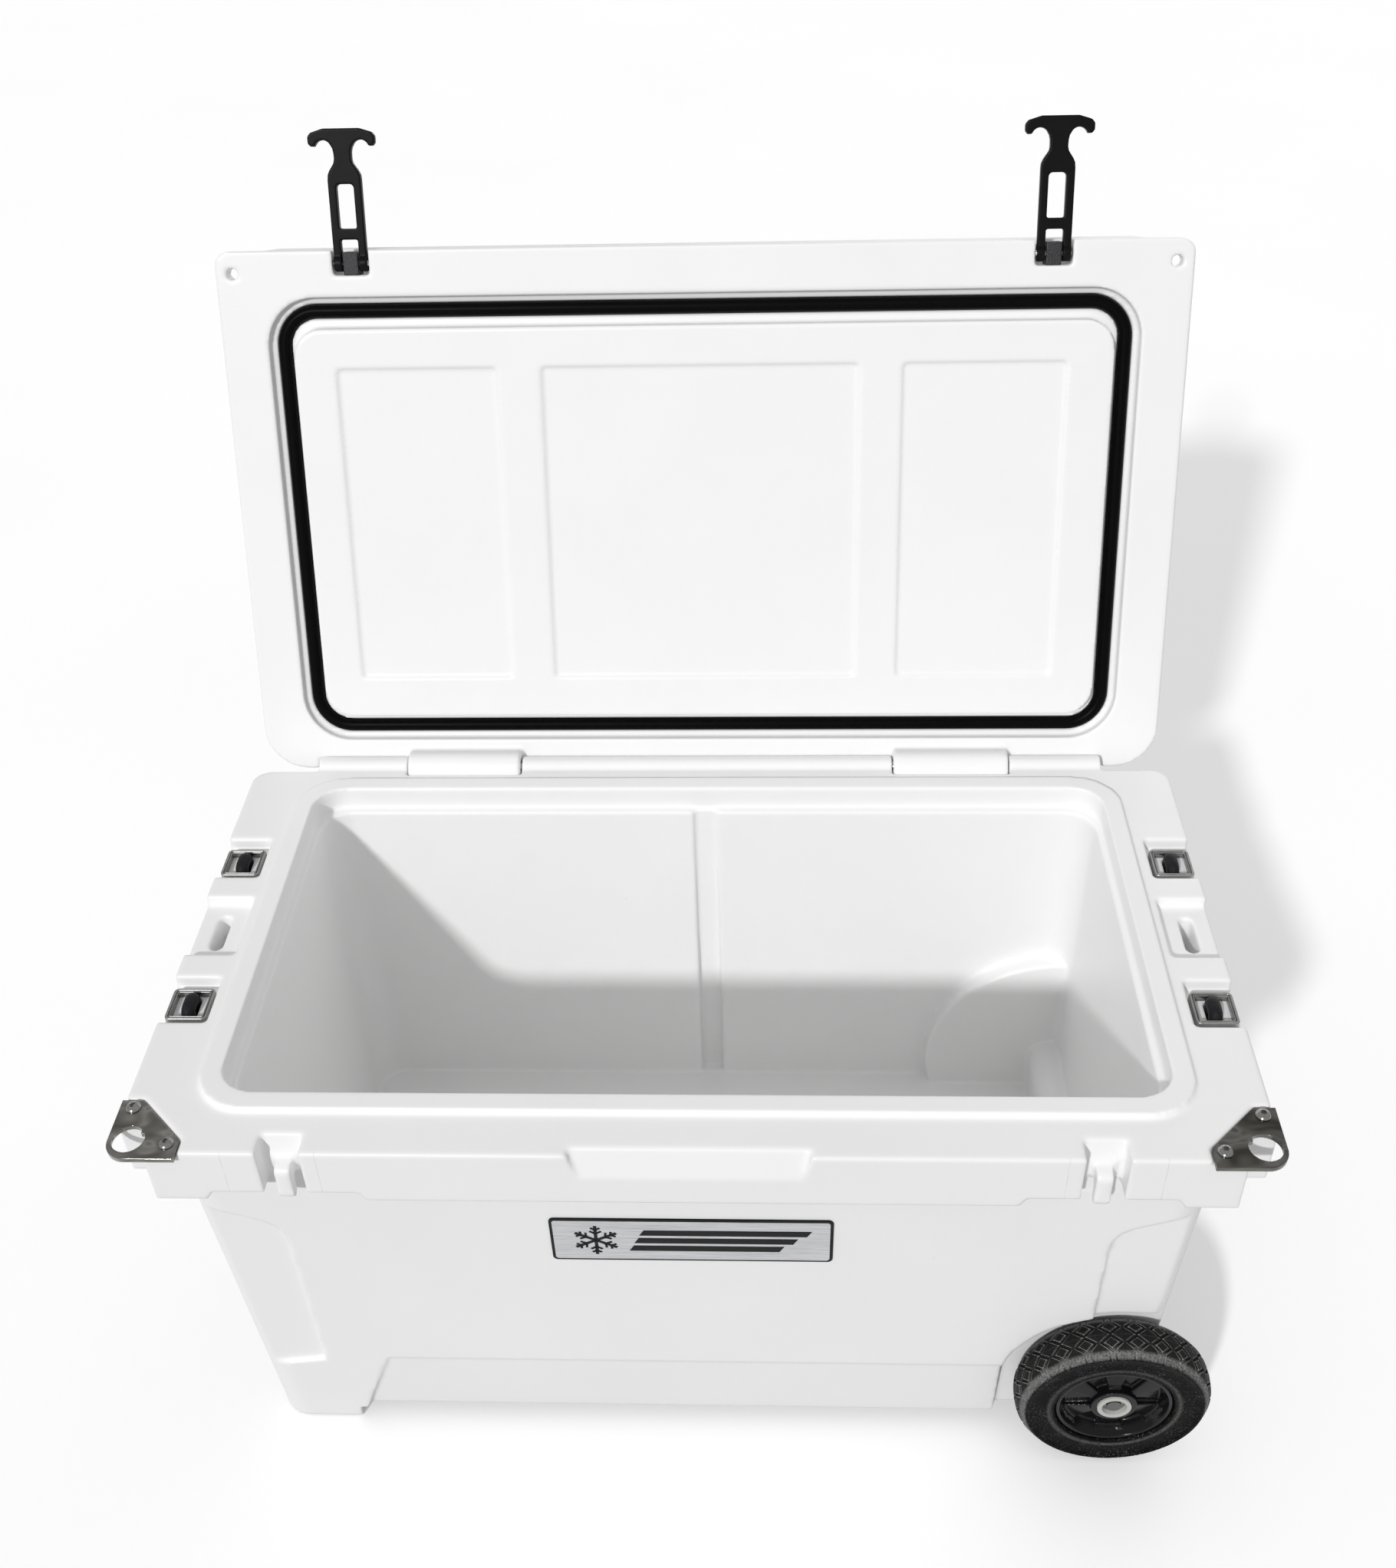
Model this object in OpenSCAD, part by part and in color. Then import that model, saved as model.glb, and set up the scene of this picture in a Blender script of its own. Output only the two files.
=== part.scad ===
// Wheeled rotomoulded cooler chest, drawn with its lid standing open.
// Millimetres, +Z up. Origin: ground level, centre of the body. +X is the wheel end, -Y the front.

/* [Rim] */
// Width of the rim across the handle ends
rim_w = 806; // [800:1:812]
// Distance from the origin to the front of the rim
rim_front = 223; // [222:1:224]
// Distance from the origin to the back of the rim
rim_back = 207; // [206:1:208]
// Height of the rim's top face above the ground
rim_top = 379; // [376:1:382]
// Height of the rim band
rim_h = 50; // [48:1:52]
// Height of the raised sealing lip around the opening
lip_h = 5; // [4:0.5:5]

/* [Body] */
// Body width at the height of the rim band
body_top_w = 744; // [740:1:748]
// Body width at the ground
body_bottom_w = 714; // [710:1:718]
// Body depth at the height of the rim band
body_top_d = 410; // [408:1:411]
// Body depth at the ground
body_bottom_d = 380; // [378:1:382]
// Radius of the body's upright corners
body_r = 28; // [24:1:32]
// Depth of the foam inside the outside face of the body
foam_inset = 10; // [10:0.5:11]
// Thickness of the inner skin
skin_t = 4; // [3.5:0.5:4]

/* [Cavity] */
// Width of the cavity below the ledge
cavity_top_w = 668; // [664:1:670]
// Width of the cavity at its floor
cavity_bottom_w = 656; // [650:1:658]
// Depth of the cavity below the ledge
cavity_top_d = 332; // [328:1:334]
// Depth of the cavity at its floor
cavity_bottom_d = 320; // [316:1:322]
// Height of the cavity floor
floor_z = 38; // [38:1:40]
// Height of the ledge just under the lip
ledge_z = 363; // [360:1:365]

/* [Lid] */
// Width of the lid
lid_w = 793; // [788:1:798]
// Distance from the origin to the front edge of the closed lid
lid_front = 225.5; // [224:0.5:226]
// Distance from the origin to the back edge of the closed lid
lid_back = 220.5; // [219:0.5:221]
// Thickness of the lid
lid_t = 58; // [54:1:62]
// Angle of the lid from closed to its stop
lid_open = 108; // [0:1:108]
// Diameter of the gasket cord
gasket_d = 11; // [10:0.5:11]

/* [Hinge] */
// Distance from the origin back to the hinge axis
hinge_y = 217; // [216.5:0.5:217.5]
// Height of the hinge axis
hinge_z = 375.3; // [375:0.1:375.6]
// Radius of the hinge rail on the tub
rail_r = 9.5; // [9:0.1:9.6]
// Radius of the two lid knuckles
knuckle_r = 15; // [14:0.1:15]
// Distance of each knuckle's middle from the centre line
knuckle_x = 215; // [205:1:225]
// Width of each knuckle
knuckle_w = 100; // [90:1:104]
// Diameter of the hinge pins
hinge_pin_d = 8; // [7:0.5:8]

/* [Latches] */
// Distance of each latch from the centre line
latch_x = 284; // [280:1:288]
// Width of the latch notches in the lid and the rim
notch_w = 30; // [29.5:0.5:31]
// Distance from the origin forward to the latch pins with the lid closed
latch_pin_y = 215; // [214.5:0.5:215.5]
// Height of the latch pins with the lid closed
latch_pin_z = 388; // [387.5:0.5:388.5]
// Diameter of the latch pins
latch_pin_d = 5; // [4:0.5:5]
// Width of a latch strap
latch_w = 27; // [26:0.5:27]
// Thickness of a latch strap
latch_t = 7; // [6:0.5:7]
// Reach of a latch from its pin to the end of its handle
latch_len = 103; // [100:1:106]

/* [Wheels] */
// Outside diameter of a tyre
wheel_d = 152.4; // [150:0.1:154]
// Width of a tyre
wheel_w = 38; // [37:0.5:38]
// Distance from the centre line to the axle
axle_x = 325; // [323:1:326]
// Distance from the origin to a wheel's outer face
wheel_face = 223; // [222:1:224]
// Diameter of the axle
axle_d = 12; // [11:0.5:12]
// Radius of the wheel arches
arch_r = 86; // [84:1:88]

/* [Handles] */
// Middle of the handle fittings along the rim's ends
handle_y = 6.7; // [4:0.1:8]
// Distance of each rope frame from the middle of its handle
frame_y = 82; // [81:0.5:83]
// Distance from the centre line to the ropes
rope_x = 385; // [384.5:0.5:385.5]
// Diameter of the rope
rope_d = 10.5; // [10:0.1:10.6]
// Drop of the grip below the rope's pivot
grip_drop = 85; // [75:1:95]
// Diameter of the grip
grip_d = 27; // [25:0.5:28]

/* [Fittings] */
// Thickness of the corner plates
plate_t = 4; // [3:0.5:4]
// Diameter of the hole in each corner plate
plate_hole_d = 23; // [20:0.5:23]
// Diameter of the padlock holes in the lid
padlock_d = 9.5; // [8:0.5:10]
// Width of the nameplate
name_w = 207; // [180:1:215]
// Height of the nameplate
name_h = 51; // [45:1:55]
// Height of the drain above the ground
drain_z = 54; // [54:0.5:56]
// Diameter of the drain's clear bore
drain_bore_d = 14; // [12:0.5:15]

/* [Hidden] */

far = 900;              // longer than any side, for cutting tools
rim_r = 16;             // rim corners at the back
rim_low = rim_top - rim_h;
body_h = 345;           // body height, ending inside the rim band
draft_h = 335;          // height over which the body widens
draft_a = atan((body_top_d - body_bottom_d) / 2 / draft_h);

base_z = 14;            // underside between the feet and the wheels
wheel_base_z = 22;      // underside at the wheel end
foot_x = -286;          // inner end of the feet
panel_cut = 4;          // depth of the corner panels

lip_x = 355;            // sealing lip, outer faces
lip_y0 = -186;
lip_y1 = 190.5;
lip_w = 16;
lip_r = 38;
mouth_r = 26;           // corners of the cavity

wheel_z = wheel_d / 2;
well_y = wheel_face - wheel_w - 4;   // back face of each wheel arch
boss_inner = wheel_w - 4.2;          // inner end of the hub, from the wheel's outer face
arch_top = wheel_d + 9;
bulge_y = 149;
bulge_r = 120;
hump_r = 22;

plug_z = 376;           // underside of the lid's plug
plug_top = 392;
lid_z = rim_top + 3;    // underside of the closed lid's border
recess_top = lid_z + 7; // ceiling of the sealing recess
gasket_x = 346;
gasket_y0 = -177.5;
gasket_y1 = 181.5;
gasket_r = 29;
gasket_z = rim_top + lip_h + 0.3 + gasket_d / 2;
lid_foam_z0 = 400;
lid_foam_z1 = lid_z + lid_t - 8;
port_d = 20;

pocket_z = rim_top - 11;             // floor of the rope pockets
slot_z = rim_top - 9;                // floor of the tie-down pockets
tie_w = 11;                          // slot in each tie-down pocket
tie_len = 39;
rope_r = rope_d / 2;
arch_rope_r = 7;                     // bend of the rope over its bridge
hang_y = frame_y - arch_rope_r;      // distance from the handle's middle to the hanging strands
swing_z = rim_low - 7.5;             // pivot of the hanging handle
bend_r = 20;

cross_r0 = 18.5;        // latch crossbar and window, measured from the pin
cross_r1 = 27;
window_end = 61;
window_w = 14;

// ---- helpers ----

// Rounded rectangle from corner to corner, with true arcs
module round_rect(x0, y0, x1, y1, r) {
    translate([x0 + r, y0]) square([x1 - x0 - 2 * r, y1 - y0]);
    translate([x0, y0 + r]) square([x1 - x0, y1 - y0 - 2 * r]);
    for (x = [x0 + r, x1 - r], y = [y0 + r, y1 - r]) translate([x, y]) circle(r, $fn = 64);
}

module slab(x0, y0, x1, y1, r, z0, z1) {
    translate([0, 0, z0]) linear_extrude(z1 - z0) round_rect(x0, y0, x1, y1, r);
}

module box(x0, y0, z0, x1, y1, z1) {
    translate([x0, y0, z0]) cube([x1 - x0, y1 - y0, z1 - z0]);
}

// Drafted block: centred rectangles w0 x d0 at z0 and w1 x d1 at z1
module drafted(w0, d0, z0, w1, d1, z1, r) {
    sliver = 0.01;
    hull() {
        translate([0, 0, z0]) linear_extrude(sliver) offset_rect(w0, d0, r);
        translate([0, 0, z1 - sliver]) linear_extrude(sliver) offset_rect(w1, d1, r);
    }
}

module offset_rect(w, d, r) {
    for (x = [-w / 2 + r, w / 2 - r], y = [-d / 2 + r, d / 2 - r]) translate([x, y]) circle(r, $fn = 32);
    square([w - 2 * r, d], center = true);
    square([w, d - 2 * r], center = true);
}

// Cylinder along X or Y, from one coordinate to the other
module rod_x(x0, x1, y, z, r) {
    translate([x0, y, z]) rotate([0, 90, 0]) cylinder(h = x1 - x0, r = r, $fn = 64);
}

module rod_y(y0, y1, x, z, r) {
    translate([x, y0, z]) rotate([-90, 0, 0]) cylinder(h = y1 - y0, r = r, $fn = 64);
}

module both_ends() {
    children();
    mirror([1, 0, 0]) children();
}

module front_and_back() {
    children();
    mirror([0, 1, 0]) children();
}

// Outline drawn in X and height, laid on the drafted front face and cut in by depth
module on_front(depth, out) {
    translate([0, -body_bottom_d / 2, 0]) rotate([90 + draft_a, 0, 0])
        translate([0, 0, -depth]) linear_extrude(depth + out) children();
}

// Moves a piece from the closed lid to the open lid
module on_open_lid() {
    translate([0, hinge_y, hinge_z]) rotate([-lid_open, 0, 0])
        translate([0, -hinge_y, -hinge_z]) children();
}

// ---- tub ----

module body_block() {
    slope_w = (body_top_w - body_bottom_w) / draft_h;
    slope_d = (body_top_d - body_bottom_d) / draft_h;
    drafted(body_bottom_w, body_bottom_d, 0,
            body_bottom_w + slope_w * body_h, body_bottom_d + slope_d * body_h, body_h, body_r);
}

// Solid that the foam fills, before the cavity is taken out; g is the foam's gap to the skins
module foam_block(g) {
    inset = 2 * (foam_inset + g);
    drafted(body_bottom_w - inset, body_bottom_d - inset, base_z + skin_t + g,
            body_top_w - inset, body_top_d - inset, rim_low + 23 - g, body_r - foam_inset);
}

// Main cavity; grow moves its walls outwards into the foam
module cavity_block(grow) {
    translate([0, 1.5, 0]) drafted(cavity_bottom_w + 2 * grow, cavity_bottom_d + 2 * grow,
        floor_z - grow, cavity_top_w + 2 * grow, cavity_top_d + 2 * grow, ledge_z + 1, mouth_r + grow);
}

// The wheel housings and the axle tunnel that stand up inside the cavity
module housings(shrink) {
    for (side = [-1, 1])
        rod_y(side > 0 ? bulge_y + shrink : -250, side > 0 ? 250 : -bulge_y - shrink,
              axle_x, wheel_z, bulge_r - shrink);
    rod_y(-250, 250, axle_x, wheel_z, hump_r - shrink);
    box(axle_x - hump_r + 1 + shrink, -250, 0, axle_x + 60, 250, wheel_z);
}

// Upright grooves that hold a divider
module divider_grooves(grow) {
    box(-10 - grow, -cavity_top_d / 2 - 2 - grow, floor_z + 1 - grow,
        10 + grow, cavity_top_d / 2 + 5 + grow, ledge_z + 2);
}

module cavity() {
    difference() {
        union() {
            cavity_block(0);
            divider_grooves(0);
        }
        housings(0);
    }
    slab(-lip_x + lip_w, lip_y0 + lip_w, lip_x - lip_w, lip_y1 - lip_w, mouth_r, ledge_z, rim_top + 30);
}

module wheel_wells(grow) {
    front_and_back() {
        rod_y(-300, -well_y + grow, axle_x, wheel_z, arch_r + grow);
        box(axle_x, -300, -10, axle_x + 120, -well_y + grow, arch_top + grow);
        box(axle_x - arch_r - grow, -300, -10, axle_x, -well_y + grow, wheel_z);
    }
}

module foam(g) {
    difference() {
        foam_block(g);
        difference() {
            union() {
                cavity_block(skin_t + g);
                divider_grooves(skin_t + g);
            }
            housings(skin_t + g);
        }
        wheel_wells(skin_t + g);
        box(axle_x - arch_r - 10 - g, -far, 0, far, far, wheel_base_z + skin_t + g);
        rod_y(-250, 250, axle_x, wheel_z, axle_d / 2 + skin_t + g);
        rod_x(-400, -300, 0, drain_z, 17 + g);
    }
}

module fill_ports(d, z0, z1) {
    for (x = [-150, 110]) translate([x, 0, z0]) cylinder(h = z1 - z0, d = d, $fn = 48);
}

// Shallow panels at the four upright corners and the tapering panel low on the front and back
module panel_cuts() {
    front_and_back() {
        both_ends() on_front(panel_cut, 20)
            polygon([[390, 306], [318, 277], [309, 271], [304, 262], [302.5, 248], [302.5, 88], [390, 72]]);
        intersection() {
            on_front(60, 20) polygon([[-252, 92], [262, 92], [262, -10], [-288, -10]]);
            rotate([90, 0, 90]) linear_extrude(far, center = true)
                polygon([[-240, 92], [-192.5, 92], [-184, 0], [-184, -10], [-240, -10]]);
        }
    }
}

module base_cuts() {
    box(foot_x, -far, -10, far, far, base_z);
    box(axle_x - arch_r, -far, -10, far, far, wheel_base_z);
    box(-far, -120, -10, foot_x + 5, 120, 10);
}

// Rim band with its stepped lower edge at the front and open front corners
module rim_band() {
    difference() {
        union() {
            slab(-rim_w / 2, -rim_front, rim_w / 2, rim_back, rim_r, rim_low, rim_top);
            both_ends() box(300, -rim_front, rim_low, rim_w / 2, -rim_front + 60, rim_top);
        }
        both_ends() {
            translate([0, -rim_front - 5, 0]) rotate([90, 0, 0]) translate([0, 0, -23])
                linear_extrude(23) polygon([[225, rim_low - 5], [233, rim_low + 8],
                                            [336, rim_low + 8], [344, rim_low - 5]]);
            // space under each corner plate's hole
            box(378, -rim_front - 10, rim_low - 5, rim_w / 2 + 10, -197, rim_top + 5);
            plate_recess();
            handle_pockets();
            // notch for the latch
            box(latch_x - notch_w / 2, -rim_front - 10, rim_low - 5,
                latch_x + notch_w / 2, -204, rim_top + 5);
        }
        finger_scoop();
    }
}

module plate_recess() {
    translate([0, 0, rim_top - 0.5 - plate_t]) linear_extrude(20)
        polygon([[rim_w / 2 + 10, -174], [389.5, -174], [353, -210.5], [353, -240], [rim_w / 2 + 10, -240]]);
}

module handle_pockets() {
    for (side = [-1, 1]) {
        y = handle_y + side * frame_y;
        box(366, y - 23.5, pocket_z, rim_w / 2 + 10, y + 23.5, rim_top + 10);
        for (k = [-1, 1]) translate([rope_x, y + k * arch_rope_r, rim_low - 10])
            cylinder(h = rim_h, d = rope_d + 0.5, $fn = 48);
    }
    box(363, handle_y - 32.7, slot_z, rim_w / 2 + 10, handle_y + 32.7, rim_top + 10);
    // slot for a strap, right through the rim
    translate([383.5, handle_y, rim_low - 10]) linear_extrude(rim_h + 10) {
        square([tie_w, tie_len - tie_w], center = true);
        for (k = [-1, 1]) translate([0, k * (tie_len - tie_w) / 2]) circle(tie_w / 2, $fn = 48);
    }
}

// Sloped finger grip in the middle of the rim's front edge
module finger_scoop() {
    translate([0, -rim_front - 0.5, rim_top - 25]) rotate([90 - 18, 0, 0])
        linear_extrude(20) polygon([[-77, 0], [77, 0], [86, 32], [-86, 32]]);
}

module lip() {
    slab(-lip_x, lip_y0, lip_x, lip_y1, lip_r, rim_top - 5, rim_top + lip_h);
}

// Downward hook that a latch's window drops over, with its shoulders and the sloped wall behind it
module keeper() {
    translate([latch_x, 0, 0]) rotate([90, 0, 90]) translate([0, 0, -5.8]) linear_extrude(11.6)
        polygon([[-200, 361], [-209, 361], [-219, 359.5], [-222, 356], [-222.5, 334], [-221, 330],
                 [-218, 329], [-214.5, 331.5], [-212.5, 346], [-200, 349]]);
    translate([latch_x, 0, 0]) rotate([90, 0, 90]) translate([0, 0, -notch_w / 2 - 1])
        linear_extrude(notch_w + 2)
        polygon([[-200, rim_top], [-204.5, rim_top], [-208, 366], [-208, 343], [-200, 337]]);
    translate([latch_x, 0, 0]) rotate([90, 0, 90]) translate([0, 0, -9.5]) linear_extrude(19)
        polygon([[-200, 368], [-207, 368], [-210.8, 361], [-210.8, 349], [-206, 343], [-200, 343]]);
}

module hinge_rail() {
    rod_x(-346, 346, hinge_y, hinge_z, rail_r);
    rotate([90, 0, 90]) linear_extrude(692, center = true)
        polygon([[200, 338], [200, hinge_z], [hinge_y + rail_r - 0.6, hinge_z - 1],
                 [hinge_y + rail_r - 2, hinge_z - 6], [hinge_y - 10, 338]]);
}

module tub_shell() {
    color("white") difference() {
        union() {
            difference() {
                union() {
                    difference() {
                        body_block();
                        panel_cuts();
                        base_cuts();
                        wheel_wells(0);
                    }
                    rim_band();
                    hinge_rail();
                }
                both_ends() rod_x(knuckle_x - knuckle_w / 2 - 1, knuckle_x + knuckle_w / 2 + 1,
                                  hinge_y, hinge_z, knuckle_r + 0.6);
                both_ends() box(latch_x - notch_w / 2, -260, rim_low - 5,
                                latch_x + notch_w / 2, -204, rim_top + 20);
            }
            lip();
            both_ends() keeper();
        }
        cavity();
        foam(0);
        both_ends() {
            rod_x(knuckle_x - knuckle_w / 2 - 26, 360, hinge_y, hinge_z, hinge_pin_d / 2 + 0.05);
            plate_screw_holes();
        }
        rod_y(-250, 250, axle_x, wheel_z, axle_d / 2 + 0.1);
        fill_ports(24, 0, base_z + skin_t + 1);
        rod_x(-400, -300, 0, drain_z, 10.5);
        rod_x(-400, -353, 0, drain_z, 25);
    }
}

module tub_foam() {
    color("moccasin") foam(0.3);
}

module tub_fill_plugs() {
    color("white") fill_ports(23.8, base_z, base_z + skin_t);
}

// ---- lid, drawn closed ----

module lid_outline() {
    front_r = 12;
    back_r = 38;
    x = lid_w / 2;
    translate([-x, -lid_front + front_r]) square([lid_w, lid_front + lid_back - front_r - back_r]);
    translate([-x + front_r, -lid_front]) square([lid_w - 2 * front_r, 60]);
    translate([-x + back_r, lid_back - 60]) square([lid_w - 2 * back_r, 60]);
    for (s = [-1, 1]) {
        translate([s * (x - front_r), -lid_front + front_r]) circle(front_r, $fn = 64);
        translate([s * (x - back_r), lid_back - back_r]) circle(back_r, $fn = 64);
    }
}

module lid_foam_solid(g) {
    slab(-385 + g, -196 + g, 385 - g, 196 - g, 30, lid_foam_z0 + g, lid_foam_z1 - g);
    slab(-328 + g, -156 + g, 328 - g, 161 - g, 20, plug_z + 8 + g, lid_foam_z0 + 5);
}

// Groove that the gasket sits in
module gasket_groove() {
    half = gasket_d / 2 + 0.3;
    difference() {
        slab(-gasket_x - half, gasket_y0 - half, gasket_x + half, gasket_y1 + half,
             gasket_r + half, lid_z - 5, gasket_z + gasket_d / 2 + 0.2);
        slab(-gasket_x + half, gasket_y0 + half, gasket_x - half, gasket_y1 - half,
             gasket_r - half, lid_z - 10, gasket_z + 50);
    }
}

module lid_ports(d, y0, y1) {
    for (x = [-90, 90]) rod_y(y0, y1, x, lid_z + 34, d / 2);
}

// The three shallow panels on the underside of the plug
module plug_panels() {
    for (span = [[-302, -168], [-132, 130], [165, 299]])
        slab(span[0], -132, span[1], 134, 4, plug_z - 10, plug_z + 2.5);
}

module lid_closed() {
    knuckle_gap = 0.5;
    difference() {
        union() {
            difference() {
                translate([0, 0, lid_z]) linear_extrude(lid_t) lid_outline();
                slab(-357.5, -188.5, 357.5, 193, lip_r + 2, lid_z - 10, recess_top);
                rod_x(-350, 350, hinge_y, hinge_z, rail_r + 0.8);
            }
            slab(-336, -164, 336, 169.5, 24, plug_z, plug_top);
            both_ends() rod_x(knuckle_x - knuckle_w / 2, knuckle_x + knuckle_w / 2,
                              hinge_y, hinge_z, knuckle_r);
        }
        gasket_groove();
        plug_panels();
        lid_foam_solid(0);
        lid_ports(port_d, 190, 260);
        // shallow recess in the top
        slab(-320, -150, 320, 150, 30, lid_z + lid_t - 3, lid_z + lid_t + 10);
        both_ends() {
            box(latch_x - notch_w / 2, -300, lid_z - 10, latch_x + notch_w / 2, -206, lid_z + 34);
            rod_x(latch_x - 19, latch_x + 19, -latch_pin_y, latch_pin_z, latch_pin_d / 2 + 0.04);
            rod_x(knuckle_x - knuckle_w / 2 - knuckle_gap, knuckle_x + knuckle_w / 2 + knuckle_gap,
                  hinge_y, hinge_z, hinge_pin_d / 2 + 0.08);
            // corner stepped down for a padlock, with its hole
            box(360, -300, lid_z + 16, 450, -184, lid_z + lid_t + 10);
            translate([382.5, -208, lid_z - 10]) cylinder(h = 60, d = padlock_d, $fn = 48);
        }
    }
}

module lid_shell() {
    color("white") on_open_lid() lid_closed();
}

module lid_foam() {
    color("moccasin") on_open_lid() lid_foam_solid(0.3);
}

module lid_fill_plugs() {
    color("white") on_open_lid() lid_ports(port_d - 0.2, 197, lid_back - 0.5);
}

// Round cord in a rounded rectangle
module lid_gasket() {
    r = gasket_d / 2;
    xs = gasket_x - gasket_r;
    color("black") on_open_lid() translate([0, 0, gasket_z]) {
        for (y = [gasket_y0, gasket_y1]) rod_x(-xs, xs, y, 0, r);
        for (x = [-gasket_x, gasket_x]) rod_y(gasket_y0 + gasket_r, gasket_y1 - gasket_r, x, 0, r);
        for (c = [[xs, gasket_y1 - gasket_r, 0], [-xs, gasket_y1 - gasket_r, 90],
                  [-xs, gasket_y0 + gasket_r, 180], [xs, gasket_y0 + gasket_r, 270]])
            translate([c[0], c[1], 0]) rotate([0, 0, c[2]])
                rotate_extrude(angle = 90, $fn = 96) translate([gasket_r, 0]) circle(r, $fn = 48);
    }
}

module hinge_pins() {
    color("silver") both_ends()
        rod_x(knuckle_x - knuckle_w / 2 - 25, 345, hinge_y, hinge_z, hinge_pin_d / 2);
}

// ---- latches ----

// Strap outline from above, with the pin at the origin and the handle towards +Y
module latch_outline() {
    w = latch_w / 2;
    hook = latch_len - 13.5;        // height of the handle's two tips
    finger_r = 6.8;
    difference() {
        union() {
            translate([-w, 0]) square([latch_w, window_end + 4]);
            polygon([[-w, window_end + 3], [-w + 0.3, window_end + 7], [-w + 2, window_end + 10.5],
                     [-7.6, window_end + 16], [-7, window_end + 19], [-7.2, hook - 4], [-8.6, hook + 2],
                     [8.6, hook + 2], [7.2, hook - 4], [7, window_end + 19], [7.6, window_end + 16],
                     [w - 2, window_end + 10.5], [w - 0.3, window_end + 7], [w, window_end + 3]]);
            polygon([[-25, hook], [-27, hook + 2.5], [-27, hook + 7.5], [-24.5, hook + 10.5],
                     [-14.5, hook + 13.5], [14.5, hook + 13.5], [24.5, hook + 10.5], [27, hook + 7.5],
                     [27, hook + 2.5], [25, hook]]);
        }
        for (s = [-1, 1]) translate([s * 15.2, hook - 2]) circle(finger_r, $fn = 64);
        round_rect(-window_w / 2, cross_r1, window_w / 2, window_end, 3);
        translate([-window_w / 2, cross_r1]) square([window_w, 15]);
        translate([-window_w / 2, -10]) square([window_w, cross_r0 + 10]);
    }
}

module latch() {
    color("black") on_open_lid() translate([latch_x, -latch_pin_y, latch_pin_z])
        difference() {
            union() {
                rotate([0, 0, 180]) translate([0, 0, -latch_t / 2]) linear_extrude(latch_t) latch_outline();
                both_ends() rod_x(window_w / 2, latch_w / 2, 0, 0, 6.5);
            }
            rod_x(-20, 20, 0, 0, latch_pin_d / 2 + 0.07);
        }
}

module latch_right() { latch(); }

module latch_left() { mirror([1, 0, 0]) latch(); }

module latch_mounts() {
    color("black") both_ends() on_open_lid() difference() {
        box(latch_x - 6.2, -lid_front + 1.5, lid_z + 1, latch_x + 6.2, -206, lid_z + 19);
        rod_x(latch_x - 20, latch_x + 20, -latch_pin_y, latch_pin_z, latch_pin_d / 2 + 0.04);
    }
}

module latch_pins() {
    color("silver") both_ends() on_open_lid()
        rod_x(latch_x - 18.5, latch_x + 18.5, -latch_pin_y, latch_pin_z, latch_pin_d / 2);
}

// ---- corner plates ----

plate_screw_at = [[395, -182], [362.5, -214]];

module plate_screw_holes() {
    for (p = plate_screw_at) translate([p[0], p[1], rim_top - 30]) cylinder(h = 28, d = 6.2, $fn = 32);
}

// Plate with a round outer corner, a large hole and a small opener tooth in the hole
module corner_plate() {
    z0 = rim_top - 0.5 - plate_t;
    color("silver") translate([0, 0, z0]) difference() {
        linear_extrude(plate_t) difference() {
            union() {
                polygon([[405, -175], [390, -175], [354, -211], [354, -227.5], [389, -227.5], [405, -211.5]]);
                translate([389, -211.5]) circle(16, $fn = 64);
            }
            difference() {
                translate([390.5, -210]) circle(d = plate_hole_d, $fn = 64);
                translate([378, -205]) square([5, 9]);
            }
        }
        for (p = plate_screw_at) translate([p[0], p[1], -5]) cylinder(h = 20, d = 6.2, $fn = 32);
    }
}

module corner_plate_right() { corner_plate(); }

module corner_plate_left() { mirror([1, 0, 0]) corner_plate(); }

// Button-head socket screws, two to each plate
module plate_screws() {
    z = rim_top - 0.5;
    color("silver") both_ends() for (p = plate_screw_at) translate([p[0], p[1], z]) difference() {
        union() {
            translate([0, 0, -22]) cylinder(h = 23, d = 6, $fn = 32);
            rotate_extrude($fn = 48) polygon([[0, 0], [5.4, 0], [5.4, 0.8], [4.3, 2.2], [2.8, 3], [0, 3]]);
        }
        translate([0, 0, 1]) cylinder(h = 5, d = 4.4, $fn = 6);
    }
}

// ---- rope handles ----

module rope_frames() {
    half = 16.2;
    bar = 3.8;
    color("silver") both_ends() for (side = [-1, 1]) {
        y = handle_y + side * frame_y;
        difference() {
            slab(rope_x - half, y - half, rope_x + half, y + half, 4, pocket_z, pocket_z + 6);
            slab(rope_x - half + bar, y - half + bar, rope_x + half - bar, y + half - bar,
                 2, pocket_z - 1, pocket_z + 10);
        }
    }
}

// Fixed part of each rope: over the bridge, down through the rim, with a knot at its outer end
module rope_ends() {
    color("black") both_ends() for (side = [-1, 1]) translate([rope_x, handle_y + side * frame_y, 0]) {
        translate([0, 0, pocket_z + 1]) rotate([90, 0, 90])
            rotate_extrude(angle = 180, $fn = 96) translate([arch_rope_r, 0]) circle(rope_r, $fn = 48);
        for (k = [-1, 1]) translate([0, k * arch_rope_r, rim_low - 1.5])
            cylinder(h = pocket_z + 1 - rim_low + 1.5, r = rope_r, $fn = 48);
        translate([0, side * arch_rope_r, rim_low - 8]) cylinder(h = 7.8, d = 15, $fn = 48);
    }
}

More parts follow.
